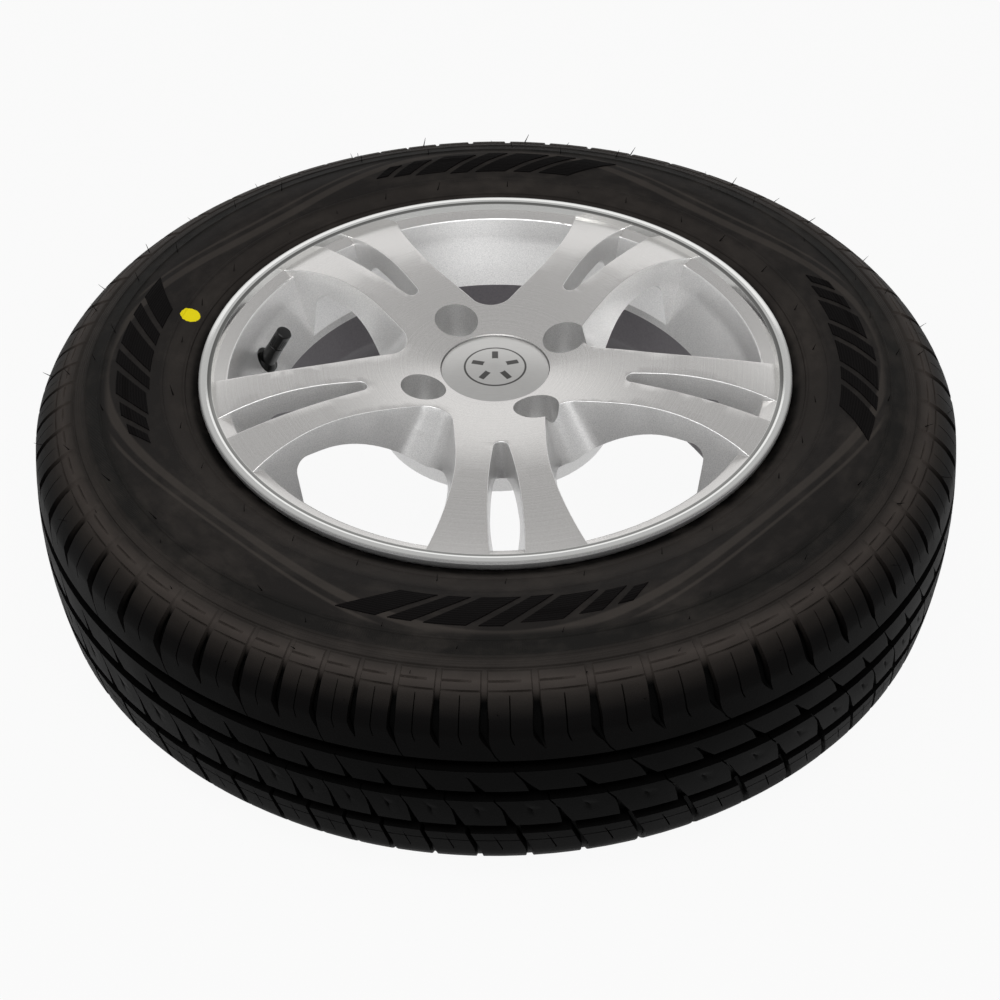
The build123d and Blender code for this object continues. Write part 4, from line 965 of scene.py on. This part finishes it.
STROKES, STROKE_HALF, STROKE_ENDS = 5, 1.9, (7.5, 15.0)     # count, mm, mm
PRINT_RING, PRINT_EDGE = (18.2, 19.4), 0.15                 # mm
BRUSH_LONG, BRUSH_FINE = 6 * MM, 0.35 * MM
cap_silver, tree, shader = material("cap_silver")
polar = put(tree, "ShaderNodeGroup", node_tree=turned).outputs
radius = polar["Radius"]
place = put(tree, COORDINATES).outputs["Object"]
stretch = put(tree, "ShaderNodeMapping", {"Vector": place, "Scale": (1 / BRUSH_LONG, 1 / BRUSH_FINE, 1 / MM)})
brush = put(tree, NOISE, {"Vector": stretch, "Scale": 1.0, "Detail": 3.0})
foil = put(tree, MIX, {0: brush, 6: linear("c6c5c3"), 7: linear("d6d5d3")}, data_type="RGBA")
half_turn = 180 / STROKES
upright = put(tree, MATH, {0: polar["Angle"], 1: 90.0}, operation="SUBTRACT")
turn = put(tree, MATH, {0: upright, 1: half_turn, 2: -half_turn}, operation="WRAP")
bend = put(tree, MATH, {0: turn}, operation="RADIANS")
aside = put(tree, MATH, {0: bend}, operation="SINE")
off = put(tree, MATH, {0: aside, 1: radius}, operation="MULTIPLY")
wide = between(tree, off, -STROKE_HALF, STROKE_HALF, PRINT_EDGE)
long = between(tree, radius, *STROKE_ENDS, PRINT_EDGE)
stroke = put(tree, MATH, {0: wide, 1: long}, operation="MULTIPLY")
ring = between(tree, radius, *PRINT_RING, PRINT_EDGE)
ink = put(tree, MATH, {0: stroke, 1: ring}, operation="ADD")
colour = put(tree, MIX, {0: ink, 6: foil.outputs[2], 7: linear("5c5b5a")}, data_type="RGBA")
bump = put(tree, BUMP, {"Height": brush, "Strength": 0.2, "Distance": 0.04 * MM})
fill(tree, shader, {"Base Color": colour.outputs[2], "Normal": bump, "Metallic": 0.9, "Roughness": 0.3})

# bare metals with fine marks: name, colour, size of the marks in mm, roughness of the dullest
METALS = (("turned_brass", "c8a55c", 0.3, 0.45), ("spring_steel", "b9babc", 0.4, 0.4))
metals = {}
for name, code, mark, dull in METALS:
    metals[name], tree, shader = material(name)
    place = put(tree, COORDINATES).outputs["Object"]
    marks = put(tree, NOISE, {"Vector": place, "Scale": 1 / (mark * MM), "Detail": 2.0})
    gloss = put(tree, RANGE, {"Value": marks, "To Min": 0.2, "To Max": dull})
    fill(tree, shader, {"Roughness": gloss, "Base Color": linear(code), "Metallic": 1.0})
turned_brass, spring_steel = metals.values()

# piece, solid, body, slot, finish
SMALL_PIECES = (
    ("hub_cap", "centre_cap", "wheel", "cap_plastic", cap_silver),
    ("valve_rubber_body", "valve_body", "wheel", "valve_rubber", valve_rubber),
    ("valve_dust_cap", "valve_cap", "cap", "cap_black", valve_rubber),
)
for name, node, body, slot, finish in SMALL_PIECES:
    piece = merged_copy(node, name)
    piece.data.materials.append(finish)
    in_place(piece, body, slot, node)

# %% Valve spring, and its length along the valve's axis
VALVE_AXIS = Vector((0.46718, -0.12956, 0.87462))
spring = merged_copy("valve_core_spring", "valve_spring")
spring.data.materials.append(spring_steel)
in_place(spring, "wheel", "spring_steel", "valve_core_spring")
reach = [corner.co.dot(VALVE_AXIS) for corner in spring.data.vertices]
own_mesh(spring)
print("spring:", round((max(reach) - min(reach)) / MM, 2), "mm long")

# %% Finishes of the solids inside
HIDDEN = {
    "cap_spring_ring": spring_steel, "valve_stem": turned_brass, "valve_core_plug": turned_brass,
    "valve_core_barrel": turned_brass, "valve_core_seal": valve_rubber, "valve_core_pin": turned_brass,
    "valve_core_cup": turned_brass, "valve_core_washer": valve_rubber, "valve_cap_seal": valve_rubber,
}
for node, finish in HIDDEN.items():
    solids[node].data.materials.clear()
    solids[node].data.materials.append(finish)
print("small pieces:", len(SMALL_PIECES), "hidden solids:", len(HIDDEN))
